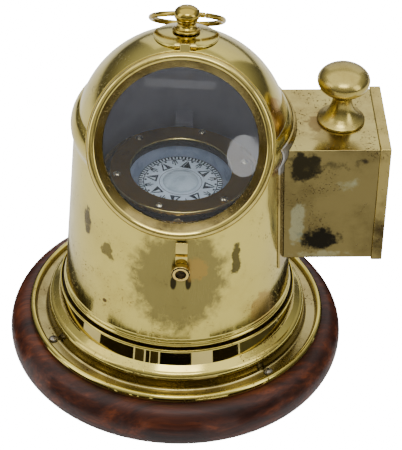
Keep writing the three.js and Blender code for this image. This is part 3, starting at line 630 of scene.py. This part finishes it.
# %% Window sleeve
sleeve = turned([(56.6, -21, 0.1), (57.8, -21, 0.1), (57.8, -4.6, 0.3), (61.6, -4.6, 0.25),
                 (61.6, -3.4, 0.4), (56.6, -3.4, 0.2)], 192)
room = turned([(0, 66), (70.5, 66), (67.2, 181), (69.2, 188.4), (68.4, 194), (65.8, 195.5),
               *arc(0, 182.7, 65.8, 65.8, 15, 90, 20)], 96)
sleeve = combined(sleeve, [moved(room, WINDOW.inverted())])
piece("window_seat_piece", sleeve, "binnacle", bright_turned, where=WINDOW)

# %% Window frame
frame_section = [
    (55.6, -10.4, 0.1), (55.6, -3.1, 0.1), (58.4, -3.1, 0.1), (60.5, -1.4, 0.5), (60.6, 0.3, 0.6),
    (59.5, 1.7, 0.8), (57.7, 2.25, 0.8), (56.0, 1.6, 0.5), (50.6, -4.2, 0.3), (50.4, -5.6, 0.2),
    (54.6, -5.6, 0.1), (54.6, -10.4, 0.1),
]
rim = turned(frame_section, 224)


def knuckle(x0, x1):
    return moved(along_x(disc(2.2, x0, x1, 0.25, 40)), HINGE)


hinge_drill = moved(along_x(disc(1.08, -9, 9, 0, 24)), HINGE)
tab = box(-3.1, 3.1, 58.8, 65.8, -2.7, -0.6, 0.3)
drop = box(-3.1, 3.1, 62.4, 65.8, -7, -0.7, 0.3)
rim = combined(rim, [tab, drop, knuckle(-3.1, 3.1)], "UNION")
rim = combined(rim, [hinge_drill])
frame_brass = brass("window frame brass", (0.52, 0.42, 0.12), TAN, 0.6, 0.35, 0.09, 0.05, 0.2)
# The conical reveal gets a darker copy of the brass: a painted dark reflection.
paint(rim, lambda middle, reach, _: 50 < reach < 55.4 and -6 < middle.z < 1.2)
reveal_painted_reflection = brass("reveal brass with painted dark reflection", (0.30, 0.235, 0.085), (0.07, 0.048, 0.018), 1.0, 0.8, 0.12, 0.05,
                     0.5)
piece("window_frame_piece", rim, "window", [frame_brass, reveal_painted_reflection], where=WINDOW)

# %% Glass, gasket and hinge pin
piece("window_glass_piece", disc(54.2, -8, -5.9, 0, 160), "window", window_pane,
      where=WINDOW)
piece("window_gasket_piece", tube(51.2, 54.2, -10.2, -8.3, 0.3), "window", rubber,
      where=WINDOW)
pin = moved(along_x(disc(1.0, -7.6, 7.6, 0.3, 32)), HINGE)
piece("window_hinge_pin_piece", pin, "binnacle", bright_turned, where=WINDOW)

# %% Hinge leaf
back_to_window = WINDOW.inverted()
foot = moved(box(-7, 7, -11.2, -7.4, 245, 254.8, 0.3), back_to_window)
webs = [moved(box(x, x + 3.6, -11.1, -8.0, 245, 257.6, 0.3), back_to_window) for x in (-7, 3.4)]
leaf = combined(foot, [*webs, knuckle(-6.95, -3.45), knuckle(3.45, 6.95)], "UNION")
ball = turned(arc(0, 182.7, 71.1, 71.1, -90, 90, 96), 128)
again = moved(along_x(disc(1.08, -9, 9, 0, 24)), HINGE)
leaf = combined(combined(leaf, [moved(ball, back_to_window)]), [again])
piece("window_hinge_leaf_piece", leaf, "binnacle", frame_brass, where=WINDOW)

# %% [markdown]
# ## Latch
#
# A strip of brass turns on a screw under the window, and its bent tip stands in front of the rim. The strip
# is a side profile made from a wire, filled, and pushed out to its width. The screw's head is a deep
# cup, its centre darkened with painted shade.

# %% Latch strip
def pushed_profile(points, width, fillet):
    """A profile in the YZ plane, with filleted corners, given a width along X."""
    bm = bmesh.new()
    corners = [bm.verts.new((-width / 2, y, z)) for y, z in points]
    bm.faces.new(corners)
    bmesh.ops.bevel(bm, geom=corners, offset=fillet, offset_type="OFFSET", segments=4, profile=0.5,
                    affect="VERTICES", material=-1)
    sheet = bmesh.ops.extrude_face_region(bm, geom=bm.faces[:])
    pushed = [v for v in sheet["geom"] if isinstance(v, bmesh.types.BMVert)]
    bmesh.ops.translate(bm, vec=(width, 0, 0), verts=pushed)
    bmesh.ops.recalc_face_normals(bm, faces=bm.faces)
    return bm


strip = pushed_profile([(-76, 118), (-74.8, 118), (-74.8, 138), (-77.8, 142.4), (-78.4, 151.4),
                        (-79.6, 151.4), (-79, 142), (-76, 137.4)], 8, 0.35)
sharp = [e for e in strip.edges if e.calc_face_angle(0) > radians(60)]
bmesh.ops.bevel(strip, geom=sharp, offset=0.25, segments=2, profile=0.5, affect="EDGES",
                clamp_overlap=True, material=-1)
moved(strip, Matrix.Translation((3.5, 0, 0)))
screw_hole = moved(along_minus_y(disc(2.08, 70, 90, 0, 32)), LATCH)
strip = combined(strip, [screw_hole])
piece("latch_strip_piece", strip, "latch", frame_brass)

# %% Latch screw and nut
knob_gold = brass("screw head brass", (0.54, 0.40, 0.12), (0.26, 0.16, 0.04), 0.8, 1.0, 0.18, 0.05, 0.2)
head = [(0, 68.5), (1.9, 68.5, 0.2), (2.0, 76.3), (6.3, 76.3, 0.3), (6.3, 80.1, 0.5), (5.5, 81.1, 0.4),
        (3.7, 81.1, 0.3), (3.1, 79.4, 0.3), (0, 79.4)]
latch_head = turned(head, 64)
# The cup's centre gets painted shade, and a band round its rounded rim is painted dark too.
paint(latch_head, lambda _, reach, normal: reach < 3.6 or 5.2 < reach < 6.0)
moved(along_minus_y(latch_head), LATCH)
piece("latch_screw_piece", latch_head, "latch_head", [knob_gold, painted_shade])


def hexagon_nut(radius, bore, bottom, top):
    bm = turned([(bore, bottom), (radius, bottom, 0.2), (radius, top, 0.2), (bore, top)], 6)
    plug = disc(bore, bottom - 1, top + 1, 0, 32)
    body = combined(disc(radius * 0.8, bottom, top, 0, 6), [bm], "UNION")
    return combined(body, [plug])


backing = moved(along_minus_y(hexagon_nut(4.2, 2.15, 70, 72.4)), LATCH)
piece("latch_nut_piece", backing, "binnacle", dark_brass)

# %% [markdown]
# ## Finial and carrying ring
#
# A curved disc follows the dome, and the finial stands on it: a spool neck under a flattened ball with a
# cross hole. The split ring is round wire bent into a circle, threaded through the ball and lying back on
# the dome.

# %% Finial and its disc
def on_sphere(radius, reach):
    return degrees(acos(reach / radius))


top_line = arc(0, 0, 72.5, 72.5, on_sphere(72.5, 21.4), 90, 14)
low_line = arc(0, 0, 71.1, 71.1, 90, on_sphere(71.1, 21.4), 14)
seat = turned([(*top_line[0], 0.3), *top_line[1:], *low_line[:-1], (*low_line[-1], 0.3)], 128)
seat = combined(seat, [disc(2.3, 60, 80, 0, 32)])
piece("finial_disc_piece", seat, "binnacle", dome_brass, where=FINIAL)

crown = arc(0, 83.9, 8.8, 5.9, -38, 90, 18)
spool = [(0, 66), (1.8, 66, 0.2), (2.0, 72.8), (9.4, 72.8, 0.2), (9.4, 73.7, 0.3), (8.6, 74.3, 0.3),
         (7.4, 74.8, 0.5), (6.3, 76.3, 0.6), (6.2, 78.2, 0.5), (6.8, 79.2, 0.3), (7.1, 79.8, 0.2)]
knob = combined(turned([*spool, *crown], 96), [moved(along_x(disc(3.1, -12, 12, 0, 40)),
                                                      Matrix.Translation((0, 0, 83.9)))])
knob_brass = brass("finial brass", (0.37, 0.27, 0.050), (0.17, 0.11, 0.018), 0.8, 0.4, 0.15, 0.05, 0.3)
piece("finial_piece", knob, "binnacle", knob_brass, where=FINIAL)
piece("finial_nut_piece", hexagon_nut(4.4, 2.15, 66, 68.6), "binnacle", dark_brass,
      where=FINIAL)

# %% Carrying ring
RING_RADIUS, RING_WIRE = 23.9, 1.8
wire = bmesh.new()
bmesh.ops.create_circle(wire, cap_ends=True, segments=24, radius=RING_WIRE)
moved(wire, Matrix.Translation((RING_RADIUS, 0, 0)) @ Matrix.Rotation(radians(90), 4, "X"))
bmesh.ops.rotate(wire, cent=(0, 0, 0), matrix=Matrix.Rotation(radians(-58), 3, "Z"), verts=wire.verts)
bmesh.ops.spin(wire, geom=wire.faces[:], axis=(0, 0, 1), cent=(0, 0, 0), angle=radians(356),
               steps=110, use_merge=False)
bmesh.ops.remove_doubles(wire, verts=wire.verts, dist=0.0005)
bmesh.ops.recalc_face_normals(wire, faces=wire.faces)
moved(wire, Matrix.Translation((0, RING_RADIUS - 0.8, 0)))
print("ring open ends:", sum(1 for e in wire.edges if len(e.link_faces) != 2))
piece("carry_ring_piece", wire, "ring", knob_brass, where=RING)

# %% [markdown]
# ## Lamp box
#
# The box is folded sheet, open at both ends, and its inner end is scribed to the drum. A flanged saddle
# covers the joint. A cast mushroom knob is bolted on top, and a cap closes the outer end: the cap, with its
# tray, tank and burner, draws out for filling. Hand-folded sheet is never flat, so this brass has a
# stronger, slower waviness than the turned parts.

# %% Saddle and box
def in_lamp(bm):
    return moved(bm, LAMP.inverted())


HALF, LOW, HIGH, END, SHEET = 35.1, 101.6, 191.4, 134, 1.2
skin = combined(in_lamp(turned(outside_profile(1.3), 160)), [in_lamp(turned(outside_profile(0.25), 160))])
band = box(40, 90, -HALF - 5, HALF + 5, LOW - 5, HIGH + 4.6)
mouth = box(30, 95, -HALF + SHEET, HALF - SHEET, LOW + SHEET, HIGH - SHEET)
saddle = combined(combined(skin, [band], "INTERSECT"), [mouth])
saddle_brass = brass("soldered saddle brass", (0.36, 0.28, 0.09), (0.17, 0.12, 0.04), 0.8, 0.8, 0.2, 0.2,
                     0.6, [((68, -28, 186), (14, 14, 12), (0.33, 0.33, 0.33, 0.8), 1.0, 0.2)])
piece("lamp_saddle_piece", saddle, "binnacle", saddle_brass, where=LAMP)

case = box(50, END, -HALF, HALF, LOW, HIGH, 0.7, "X")
room = box(40, END + 10, -HALF + SHEET, HALF - SHEET, LOW + SHEET, HIGH - SHEET)
stud = moved(disc(2.6, HIGH - 10, HIGH + 10, 0, 32), POST)
case = combined(case, [room, in_lamp(turned(outside_profile(1.6), 160)), stud])
# Only the top keeps the box's own brass; the sides get a dark copy, a painted dark reflection.
paint(case, lambda middle, _, normal: abs(normal.z) > 0.9 and middle.z > 190.8)
lamp_marks = [
    ((88, 4, 191), (6, 11, 5), (0.13, 0.065, 0.022, 0.55), 3.4, 0.1),
    ((98, 0, 191), (17, 22, 5), (0.24, 0.16, 0.055, 0.42), 2.4, 0.1),
    ((109, -27, 191), (10, 4, 5), (0.25, 0.17, 0.08, 0.45), 1.5, 0.1),
]
# The front's dark and pale patches are painted reflections of the studio in the polished sheet.
box_front_painted_reflections = [
    ((82, -30, 178), (12, 14, 15), (0.012, 0.010, 0.006, 0.95), 1.6, 0.02),
    ((117, -35, 181), (12, 12, 7), (0.015, 0.012, 0.008, 0.9), 1.8, 0.02),
    ((100, -35, 178), (20, 12, 6), (0.045, 0.036, 0.014, 0.7), 2.0, 0.02),
    ((95, -33, 118), (18, 14, 11), (0.008, 0.007, 0.005, 0.98), 1.5, 0.02),
    ((113, -35, 163), (14, 12, 12), (0.26, 0.27, 0.16, 0.6), 1.0, 0.1),
    ((79, -32, 130), (6, 12, 22), (0.30, 0.31, 0.19, 0.45), 1.6, 0.1),
    ((100, -35, 105), (34, 12, 5), (0.30, 0.29, 0.16, 0.45), 1.6, 0.1),
]
box_sides_painted_reflection = brass("lamp box sides with painted reflection", (0.150, 0.117, 0.041), (0.088, 0.066, 0.022), 0.9, 0.35, 0.11, 0.2,
                  3, box_front_painted_reflections)
box_top = brass("lamp box top brass", (0.47, 0.39, 0.135), (0.30, 0.215, 0.065), 0.7, 1.3, 0.14, 0.1, 1.2,
                lamp_marks)
piece("lamp_box_piece", case, "binnacle", [box_sides_painted_reflection, box_top], where=LAMP)

# %% Lamp cap and tray
edge = HALF + 0.3
cap = box(127.8, END + 1.3, -edge - 1, edge + 1, LOW - 1.3, HIGH + 1.3, 0.8)
cap = combined(cap, [box(120, END + 0.3, -edge, edge, LOW - 0.3, HIGH + 0.3)])
# The cap's front face gets a dark, streaky copy of its brass: a painted dark reflection.
paint(cap, lambda middle, _, normal: normal.y < -0.9 and middle.y < -HALF)
cap_brass = brass("lamp cap brass", (0.44, 0.35, 0.11), (0.24, 0.17, 0.045), 0.8, 0.5, 0.12, 0.1, 2.4)
cap_front_painted_reflection = brass("cap front with painted streaky reflection", (0.25, 0.195, 0.065), (0.04, 0.028, 0.010), 1.0, 0.9, 0.12, 0.1, 2.4)
piece("lamp_cap_piece", cap, "lamp", [cap_brass, cap_front_painted_reflection], where=LAMP)
tray = box(82, END, -30, 30, 103.4, 113.4, 0.8, "Z")
tray = combined(tray, [box(83, END - 1, -29, 29, 104.4, 130, 0.5, "Z")])
piece("lamp_tray_piece", tray, "lamp", box_brass, where=LAMP)

# %% Mushroom knob
foot = HIGH + 0.3
dome_line = arc(0, foot + 31.5, 17.5, 9.9, 0, 90, 20)
stem = [(0, 185.4), (2.2, 185.4, 0.2), (2.3, foot), (15.9, foot, 0.2), (15.9, foot + 1.2, 0.5),
        (13.2, foot + 3.1, 1.3), (9.4, foot + 7, 2.2), (7.0, foot + 12, 2.4), (6.3, foot + 17, 1.7),
        (7.0, foot + 20.5, 1.5), (11.0, foot + 23.6, 1.8), (15.4, foot + 26.2, 1.3), (17.1, foot + 28.8, 1.2)]
mushroom = moved(turned([*stem, *dome_line], 128), POST)
mushroom_brass = brass("mushroom knob brass", (0.40, 0.32, 0.092), (0.20, 0.135, 0.028), 0.9, 0.8, 0.22,
                       0.05, 0.4)
piece("lamp_knob_piece", mushroom, "binnacle", mushroom_brass, where=LAMP)
piece("lamp_knob_nut_piece", moved(hexagon_nut(5.2, 2.5, 186.9, 189.9), POST),
      "binnacle", dark_brass, where=LAMP)

# %% Port, pane and keeper
collar = combined(moved(along_x(tube(25, 28.5, 50, 77, 0.2, 96)), PORT),
                  [in_lamp(turned(outside_profile(0.25), 160))])
piece("lamp_port_collar_piece", collar, "binnacle", dark_brass, where=LAMP)
piece("lamp_pane_piece", moved(along_x(disc(28, 77.3, 79.3, 0, 96)), PORT), "binnacle",
      bowl_pane, where=LAMP)
piece("lamp_pane_keeper_piece", moved(along_x(tube(24, 28.5, 79.6, 81, 0.2, 96)), PORT), "binnacle",
      dark_brass, where=LAMP)

# %% Oil lamp
tank = turned([(0, 104.7), (20, 104.7, 0.5), (21, 105.7, 0.5), (21, 123.7, 1.2), (18, 126.7, 0.9),
               (0, 126.7)], 96)
piece("oil_tank_piece", moved(tank, POST), "lamp", box_brass, where=LAMP)
chimney = [(3.4, 127.0), (10, 127.0, 0.3), (10, 131, 0.5), (8.6, 132.2, 0.4), (8.6, 138, 0.6),
           (6.5, 140, 0.6), (5, 147, 0.3), (3.4, 147, 0.2)]
spindle_hole = moved(along_x(disc(1.08, 0, 20, 0, 24)), Matrix.Translation((0, 0, 134.7)))
piece("burner_piece", moved(combined(turned(chimney, 72), [spindle_hole]), POST), "lamp",
      dark_brass, where=LAMP)
piece("filler_cap_piece", moved(disc(3.5, 127.0, 131.7, 0.5, 40), Matrix.Translation((105, 14.2, 0))),
      "filler", grimy_screw, where=LAMP)
piece("wick_piece", moved(disc(3, 129.7, 151.7, 0.5, 40), POST), "wick_body", cotton,
      where=LAMP)
wheel = combined(along_x(disc(1, 3.1, 15.5, 0.1, 24)), [along_x(disc(5, 15.2, 17.4, 0.4, 48))], "UNION")
piece("wick_knob_piece", moved(wheel, Matrix.Translation((105, 0, 134.7))), "wick_wheel",
      grimy_screw, where=LAMP)

# %% [markdown]
# ## Compass
#
# The compass hangs in two sets of pivots: the ring rocks about the fore-and-aft line, and the bowl rocks in
# the ring. The bowl's brown bezel has six round-headed screws. Inside the white bowl a card turns on a
# steel point, with an enamelled float dome over its middle.

# %% Gimbals
ring = tube(51, 54, 139, 147, 0.3, 160)
drill_y = moved(along_minus_y(disc(2.08, -70, 70, 0, 32)), GIMBAL)
drill_x = moved(along_x(disc(1.65, -70, 70, 0, 32)), GIMBAL)
piece("gimbal_ring_piece", combined(ring, [drill_y, drill_x]), "gimbal", dark_brass)
for end, side in (("front", 0), ("rear", pi)):
    arm = combined(box(-6, 6, 56.5, 80, 139, 149, 0.5), [box(-6, 6, 68.5, 80, 132, 149, 0.3)], "UNION")
    arm = combined(arm, [disc(71.2, 124, 164, 0, 160)], "INTERSECT")
    pivot = moved(along_minus_y(disc(2.05, -90, -40, 0, 32)), GIMBAL)
    arm = facing(combined(arm, [pivot]), side + pi)
    piece(f"gimbal_bracket_{end}_piece", arm, "binnacle", hood_paint)
    pin = turned([(0, 48.8), (4, 48.8, 0.5), (4, 50.5, 0.2), (2, 50.5), (2, 66, 0.3), (0, 66)], 48)
    pin = moved(facing(along_minus_y(pin), side), GIMBAL)
    piece(f"gimbal_pin_{end}_piece", pin, "binnacle", grimy_screw)
for hand, side in (("left", pi), ("right", 0)):
    pin = turned([(0, 45), (1.6, 45, 0.2), (1.6, 54.3), (3.4, 54.3, 0.2), (3.4, 56, 0.4), (0, 56)], 48)
    pin = moved(facing(along_x(pin), side), GIMBAL)
    piece(f"bowl_pin_{hand}_piece", pin, "gimbal", grimy_screw)

# %% Bowl
outside = [(0, 104), (18, 104, 0.5), *arc(24, 121, 17, 17, -80, 0, 12), (41, 144.4, 0.3), (45.6, 144.4, 0.4),
           (45.6, 147, 0.3), (38, 147, 0.2)]
inside = [*arc(24, 121, 14, 14.6, 0, -80, 12), (0, 106.4)]
vessel = turned([*outside, *inside], 160)
bosses = [moved(facing(along_x(disc(3.2, 39.5, 50.5, 0.2, 40)), s), GIMBAL) for s in (0, pi)]
vessel = combined(vessel, bosses, "UNION")
pin_drills = [moved(facing(along_x(disc(1.68, 43.5, 60, 0, 32)), s), GIMBAL) for s in (0, pi)]
vessel = combined(vessel, pin_drills)
SCREW_REACH, FIRST_SCREW = 43.7, 13
screw_turns = [radians(FIRST_SCREW + 60 * i) for i in range(6)]
screw_spots = [Vector((SCREW_REACH * cos(t), SCREW_REACH * sin(t), 0)) for t in screw_turns]
vessel = combined(vessel, [moved(disc(1.3, 142, 148, 0, 24), Matrix.Translation(s)) for s in screw_spots])


def seen_enamel(middle, reach, normal):
    return reach < 38.2 and middle.z > 105.5 and -normal.xy.dot(middle.xy) + normal.z > 0


paint(vessel, seen_enamel)
piece("bowl_piece", vessel, "bowl_body", [dark_brass, enamel])

# %% Bezel, glass, gasket and screws
bezel = turned([(34, 149.5, 0.1), (46.2, 149.5), (46.2, 149.2), (47.8, 149.2, 0.2), (48, 151.5, 0.5),
                (47.5, 152, 0.2), (34.6, 152, 0.3), (34, 151.4, 0.3)], 192)
bezel = combined(bezel, [moved(disc(1.3, 148, 153, 0, 24), Matrix.Translation(s)) for s in screw_spots])
BEZEL_FACE, BEZEL_HIGHLIGHT, BEZEL_SHADE = range(3)


# The bezel's outer and inner edges get a pale brass, a painted highlight; the inner wall under the lip gets
# painted shade.
def bezel_finish(middle, reach, _):
    if reach < 34.15 and middle.z < 151.3:
        return BEZEL_SHADE
    return BEZEL_HIGHLIGHT if reach > 47.4 or reach < 34.6 else BEZEL_FACE


paint(bezel, bezel_finish)
bezel_brass = brass("bezel brown brass", (0.34, 0.195, 0.022), (0.18, 0.095, 0.011), 0.7, 0.5, 0.32, 0.1,
                    0.1)
# A pale brass for the bezel's edges: a painted highlight.
bezel_painted_highlight = brass("bezel edges with painted highlight", (0.80, 0.66, 0.24), (0.55, 0.40, 0.11), 0.4, 0.2, 0.2, 0.1, 0.1)
# The bezel screws' heads are painted much paler than the brass, standing in for their glints.
bezel_screw_painted_glint = plain("screw head with painted glint", (0.42, 0.36, 0.22), (0.90, 0.84, 0.62), 420, (0.15, 0.35), metal=1)
piece("bowl_bezel_piece", bezel, "bowl_body", [bezel_brass, bezel_painted_highlight, painted_shade])
piece("bowl_glass_piece", disc(41.8, 147.5, 149.2, 0, 128), "bowl_body", bowl_pane)
piece("bowl_gasket_piece", tube(34.8, 37.7, 143.8, 147.2, 0.4), "bowl_body", rubber)
for i, spot in enumerate(screw_spots):
    screw = round_head(2.6, 1.7, 1.1, 7.2, i * 0.9)
    piece(f"bowl_screw_{i + 1}_piece", screw, "bowl_body", bezel_screw_painted_glint,
          where=Matrix.Translation((spot.x, spot.y, 152.3)))
piece("bowl_weight_piece", disc(16, 97, 103.7, 0.8), "bowl_body", lead)
post = turned([(0, 106.7), (6, 106.7, 0.3), (6, 109.4, 0.6), (1.4, 111.4, 0.3), (1.4, 134, 0.3),
               (0, 137.4)], 40)
piece("pivot_post_piece", post, "bowl_body", grimy_screw)

# %% [markdown]
# The card's printing is generic: three fine rings, a ring of ticks with small blocks inside it, eight
# bold outlined points, and three darts between each pair. Ink has no thickness to speak of, so the
# marks are very thin plates on the card.

# %% Card and its printing
piece("card_piece", disc(28.5, 139.2, 140, 0.15, 160), "card_body", card_white)
INK_LOW, INK_HIGH = 140.01, 140.06


def plate(points):
    bm = bmesh.new()
    face = bm.faces.new([bm.verts.new((x, y, INK_LOW)) for x, y in points])
    raised = bmesh.ops.extrude_face_region(bm, geom=[face])
    up = [v for v in raised["geom"] if isinstance(v, bmesh.types.BMVert)]
    bmesh.ops.translate(bm, vec=(0, 0, INK_HIGH - INK_LOW), verts=up)
    bmesh.ops.recalc_face_normals(bm, faces=bm.faces)
    return bm


ink = bmesh.new()


def print_mark(bm, turn=0.0):
    """Adds a mark to the printing, turned about the card's centre."""
    facing(bm, radians(turn))
    mesh = bpy.data.meshes.new("mark")
    bm.to_mesh(mesh)
    bm.free()
    ink.from_mesh(mesh)
    bpy.data.meshes.remove(mesh)


CARD_TURN, TICKS, POINTS = -10, 72, 8
for inner, outer in ((27.9, 28.4), (24.6, 25.2), (14.2, 14.5)):
    print_mark(turned([(inner, INK_LOW), (outer, INK_LOW), (outer, INK_HIGH), (inner, INK_HIGH)], 96))


def bar(half_width, start, end):
    return plate([(-half_width, start), (half_width, start), (half_width, end), (-half_width, end)])


for i in range(TICKS):
    angle = CARD_TURN + i * 360 / TICKS
    print_mark(bar(0.62, 25.2 if i % 2 else 25.8, 28.0), angle)
    if i % 3 == 1:
        print_mark(bar(0.8, 22.9, 24.3), angle + 2.5)
point_marks = [
    [(0.3, 23.6), (0.3, 17.2), (3.0, 17.2), (3.9, 16.0), (0, 24.6)],
    [(-3.9, 16.0), (-2.2, 17.2), (-0.3, 21.6), (0, 24.6)],
    [(-3.9, 15.9), (3.9, 15.9), (3.2, 17.1), (-2.2, 17.1)],
]
for i in range(POINTS):
    angle = CARD_TURN + i * 360 / POINTS
    for outline in point_marks:
        print_mark(plate(outline), angle)
    for lean in (-1.6, 0, 1.6):
        foot = 18.6 + abs(lean)
        print_mark(plate([(lean - 0.4, foot), (lean + 0.4, foot), (lean * 0.6 + 0.3, 24.2),
                          (lean * 0.6 - 0.3, 24.2)]), angle + 22.5)
print_mark(plate([(-1.7, 17.0), (0.4, 17.0), (0.4, 22.8)]), CARD_TURN)
printed = piece("card_printing", ink, "card_body", card_ink, hides=())
piece("float_dome_piece", turned([(0, 140.3), *arc(0, 140.3, 12, 4, 0, 90, 16)], 96), "card_body",
      float_white)
for hand, x in (("left", -9), ("right", 9)):
    piece(f"magnet_{hand}_piece", box(x - 1.5, x + 1.5, -18, 18, 136.8, 138.9, 0.3), "card_body",
          ground_steel)
print("card printing has", len(printed.data.polygons), "faces")

# %% [markdown]
# ## Camera
#
# The compass was seen from a little above and from the front, through a long lens, so its upright lines
# hardly converge. The camera is placed in millimetres in the compass's own frame, and its axes are given
# outright, because it is rolled a little.

# %% Camera
right = Vector((0.998929, 0.032099, 0.033333))
upward = Vector((-0.046050, 0.618437, 0.784484))
forward = Vector((-0.004567, 0.785178, -0.619253))
turn = Matrix((right, upward, -forward)).transposed().to_4x4()
lens = bpy.data.cameras.new("studio camera")
lens.sensor_fit = "HORIZONTAL"
lens.sensor_width = 36
lens.lens = 238.9
lens.clip_end = 20
camera = bpy.data.objects.new("studio camera", lens)
camera.matrix_world = Matrix.Translation(Vector((23.25, -1427.49, 1230.38)) * MM) @ turn
bpy.context.scene.collection.objects.link(camera)
bpy.context.scene.camera = camera
print("camera stands", round(camera.location.length, 2), "m away")

# %% [markdown]
# ## Studio
#
# Polished metal shows its surroundings more than its own colour, so the lighting is mostly big pale
# panels. The floor is a wide white sheet. Strips of dark cloth round the base, which only polished
# surfaces can see, give the flange's riser the dark reflections that make it read as metal.

# %% Floor
FLOOR_GLOW = 16.0
sheet = bmesh.new()
bmesh.ops.create_grid(sheet, x_segments=1, y_segments=1, size=4)
bmesh.ops.translate(sheet, vec=(0, 0, -0.0002), verts=sheet.verts)
floor = linked("studio floor", sheet)
m, tree, shader, place = blank_material("white paper floor")
paper = noise(tree, place, 3, 3)
seen = put(tree, "ShaderNodeLightPath").outputs["Is Camera Ray"]
tone = blend_colours(tree, paper, (0.86, 0.86, 0.86, 1), (0.90, 0.90, 0.90, 1))
fill(tree, shader, {"Base Color": tone, "Roughness": 0.9, "Emission Color": (1, 1, 1, 1),
                    "Emission Strength": times(tree, seen, FLOOR_GLOW)})
floor.data.materials.append(m)

# %% Dark cloth round the base
CLOTH_RADIUS, CLOTH_LOW, CLOTH_HIGH = 0.122, 0.014, 0.0355
BLACK, BROWN, GREEN = (0.010, 0.010, 0.008), (0.05, 0.04, 0.022), (0.34, 0.36, 0.27)


def cloth(name, turn_from, turn_to, shade):
    """A curved strip of cloth that stands just outside the base. Turns are in degrees from the front."""
    bm = bmesh.new()
    ends = [bm.verts.new((0, -CLOTH_RADIUS, z)) for z in (CLOTH_LOW, CLOTH_HIGH)]
    bm.edges.new(ends)
    bmesh.ops.rotate(bm, verts=ends, cent=(0, 0, 0), matrix=Matrix.Rotation(radians(turn_from), 3, "Z"))
    bmesh.ops.spin(bm, geom=bm.verts[:] + bm.edges[:], axis=(0, 0, 1), cent=(0, 0, 0),
                   angle=radians(turn_to - turn_from), steps=12, use_merge=False)
    obj = linked(name, bm)
    m, tree, shader, place = blank_material(name)
    weave = noise(tree, place, 60, 2)
    fill(tree, shader, {"Roughness": 1, "Base Color": blend_colours(
        tree, weave, (*[c * 0.8 for c in shade], 1), (*shade, 1))})
    obj.data.materials.append(m)
    obj.visible_camera = obj.visible_diffuse = obj.visible_shadow = False
    obj.visible_transmission = False


for name, turn_from, turn_to, shade in (
        ("black cloth middle", -8, 11.5, BLACK), ("striped cloth one", -14, -9, (0.20, 0.18, 0.12)),
        ("striped cloth two", -17, -14.5, (0.06, 0.05, 0.03)),
        ("striped cloth three", -24, -18, (0.26, 0.24, 0.17)), ("brown cloth left", -50, -25, BROWN),
        ("brown cloth right", 25, 43, BROWN), ("green cloth right", 44, 80, GREEN),
        ("brown cloth far right", 81, 130, BROWN), ("brown cloth far left", -130, -66, BROWN)):
    cloth(name, turn_from, turn_to, shade)
print("cloth strips stand", CLOTH_RADIUS, "m from the axis")

# %% Lights
def panel(name, place, target, width, height, power):
    light = bpy.data.lights.new(name, "AREA")
    light.shape = "RECTANGLE"
    light.size, light.size_y = width, height
    light.energy = power
    obj = bpy.data.objects.new(name, light)
    aim = (Vector(target) - Vector(place)).to_track_quat("-Z", "Y")
    obj.matrix_world = Matrix.Translation(Vector(place)) @ aim.to_matrix().to_4x4()
    obj.visible_camera = False
    bpy.context.scene.collection.objects.link(obj)
    return obj


for described in (
        ("overhead panel", (0, 0.2, 1.9), (0, 0, 0.1), 3.2, 2.4, 31),
        ("left panel", (-1.5, -0.5, 0.9), (0, 0, 0.12), 0.9, 1.4, 10),
        ("right panel", (1.5, -0.7, 1.0), (0, 0, 0.12), 0.7, 1.2, 8),
        ("back panel", (0.2, 1.8, 0.9), (0, 0, 0.12), 2.0, 1.2, 7),
        ("window panel", (0.1, -0.85, 1.75), (0, 0, 0.16), 0.8, 0.5, 11),
        ("front veil panel", (-0.01, -1.25, 0.71), (0, -0.05, 0.2), 0.55, 0.45, 0.10),
        ("streak lamp", (-0.020, -1.091, 0.785), (0, -0.02, 0.24), 0.078, 0.009, 0.0016)):
    panel(*described)
lamp = panel("round lamp", (0.053, -1.128, 0.719), (0.03, -0.05, 0.2), 0.036, 0.046, 0.016)
lamp.data.shape = "ELLIPSE"

world = bpy.data.worlds.new("studio room")
world.use_nodes = True
bpy.context.scene.world = world
sky = world.node_tree
direction = put(sky, "ShaderNodeTexCoord").outputs["Generated"]
split = put(sky, "ShaderNodeSeparateXYZ", {0: direction})
upness = step_between(sky, split.outputs["Z"], -0.05, 0.75)
glow = blend_colours(sky, upness, (0.12, 0.115, 0.11, 1), (0.95, 0.95, 0.93, 1))
fill(sky, sky.nodes["Background"], {"Color": glow, "Strength": 0.8})
print("lights:", len(bpy.data.lights))
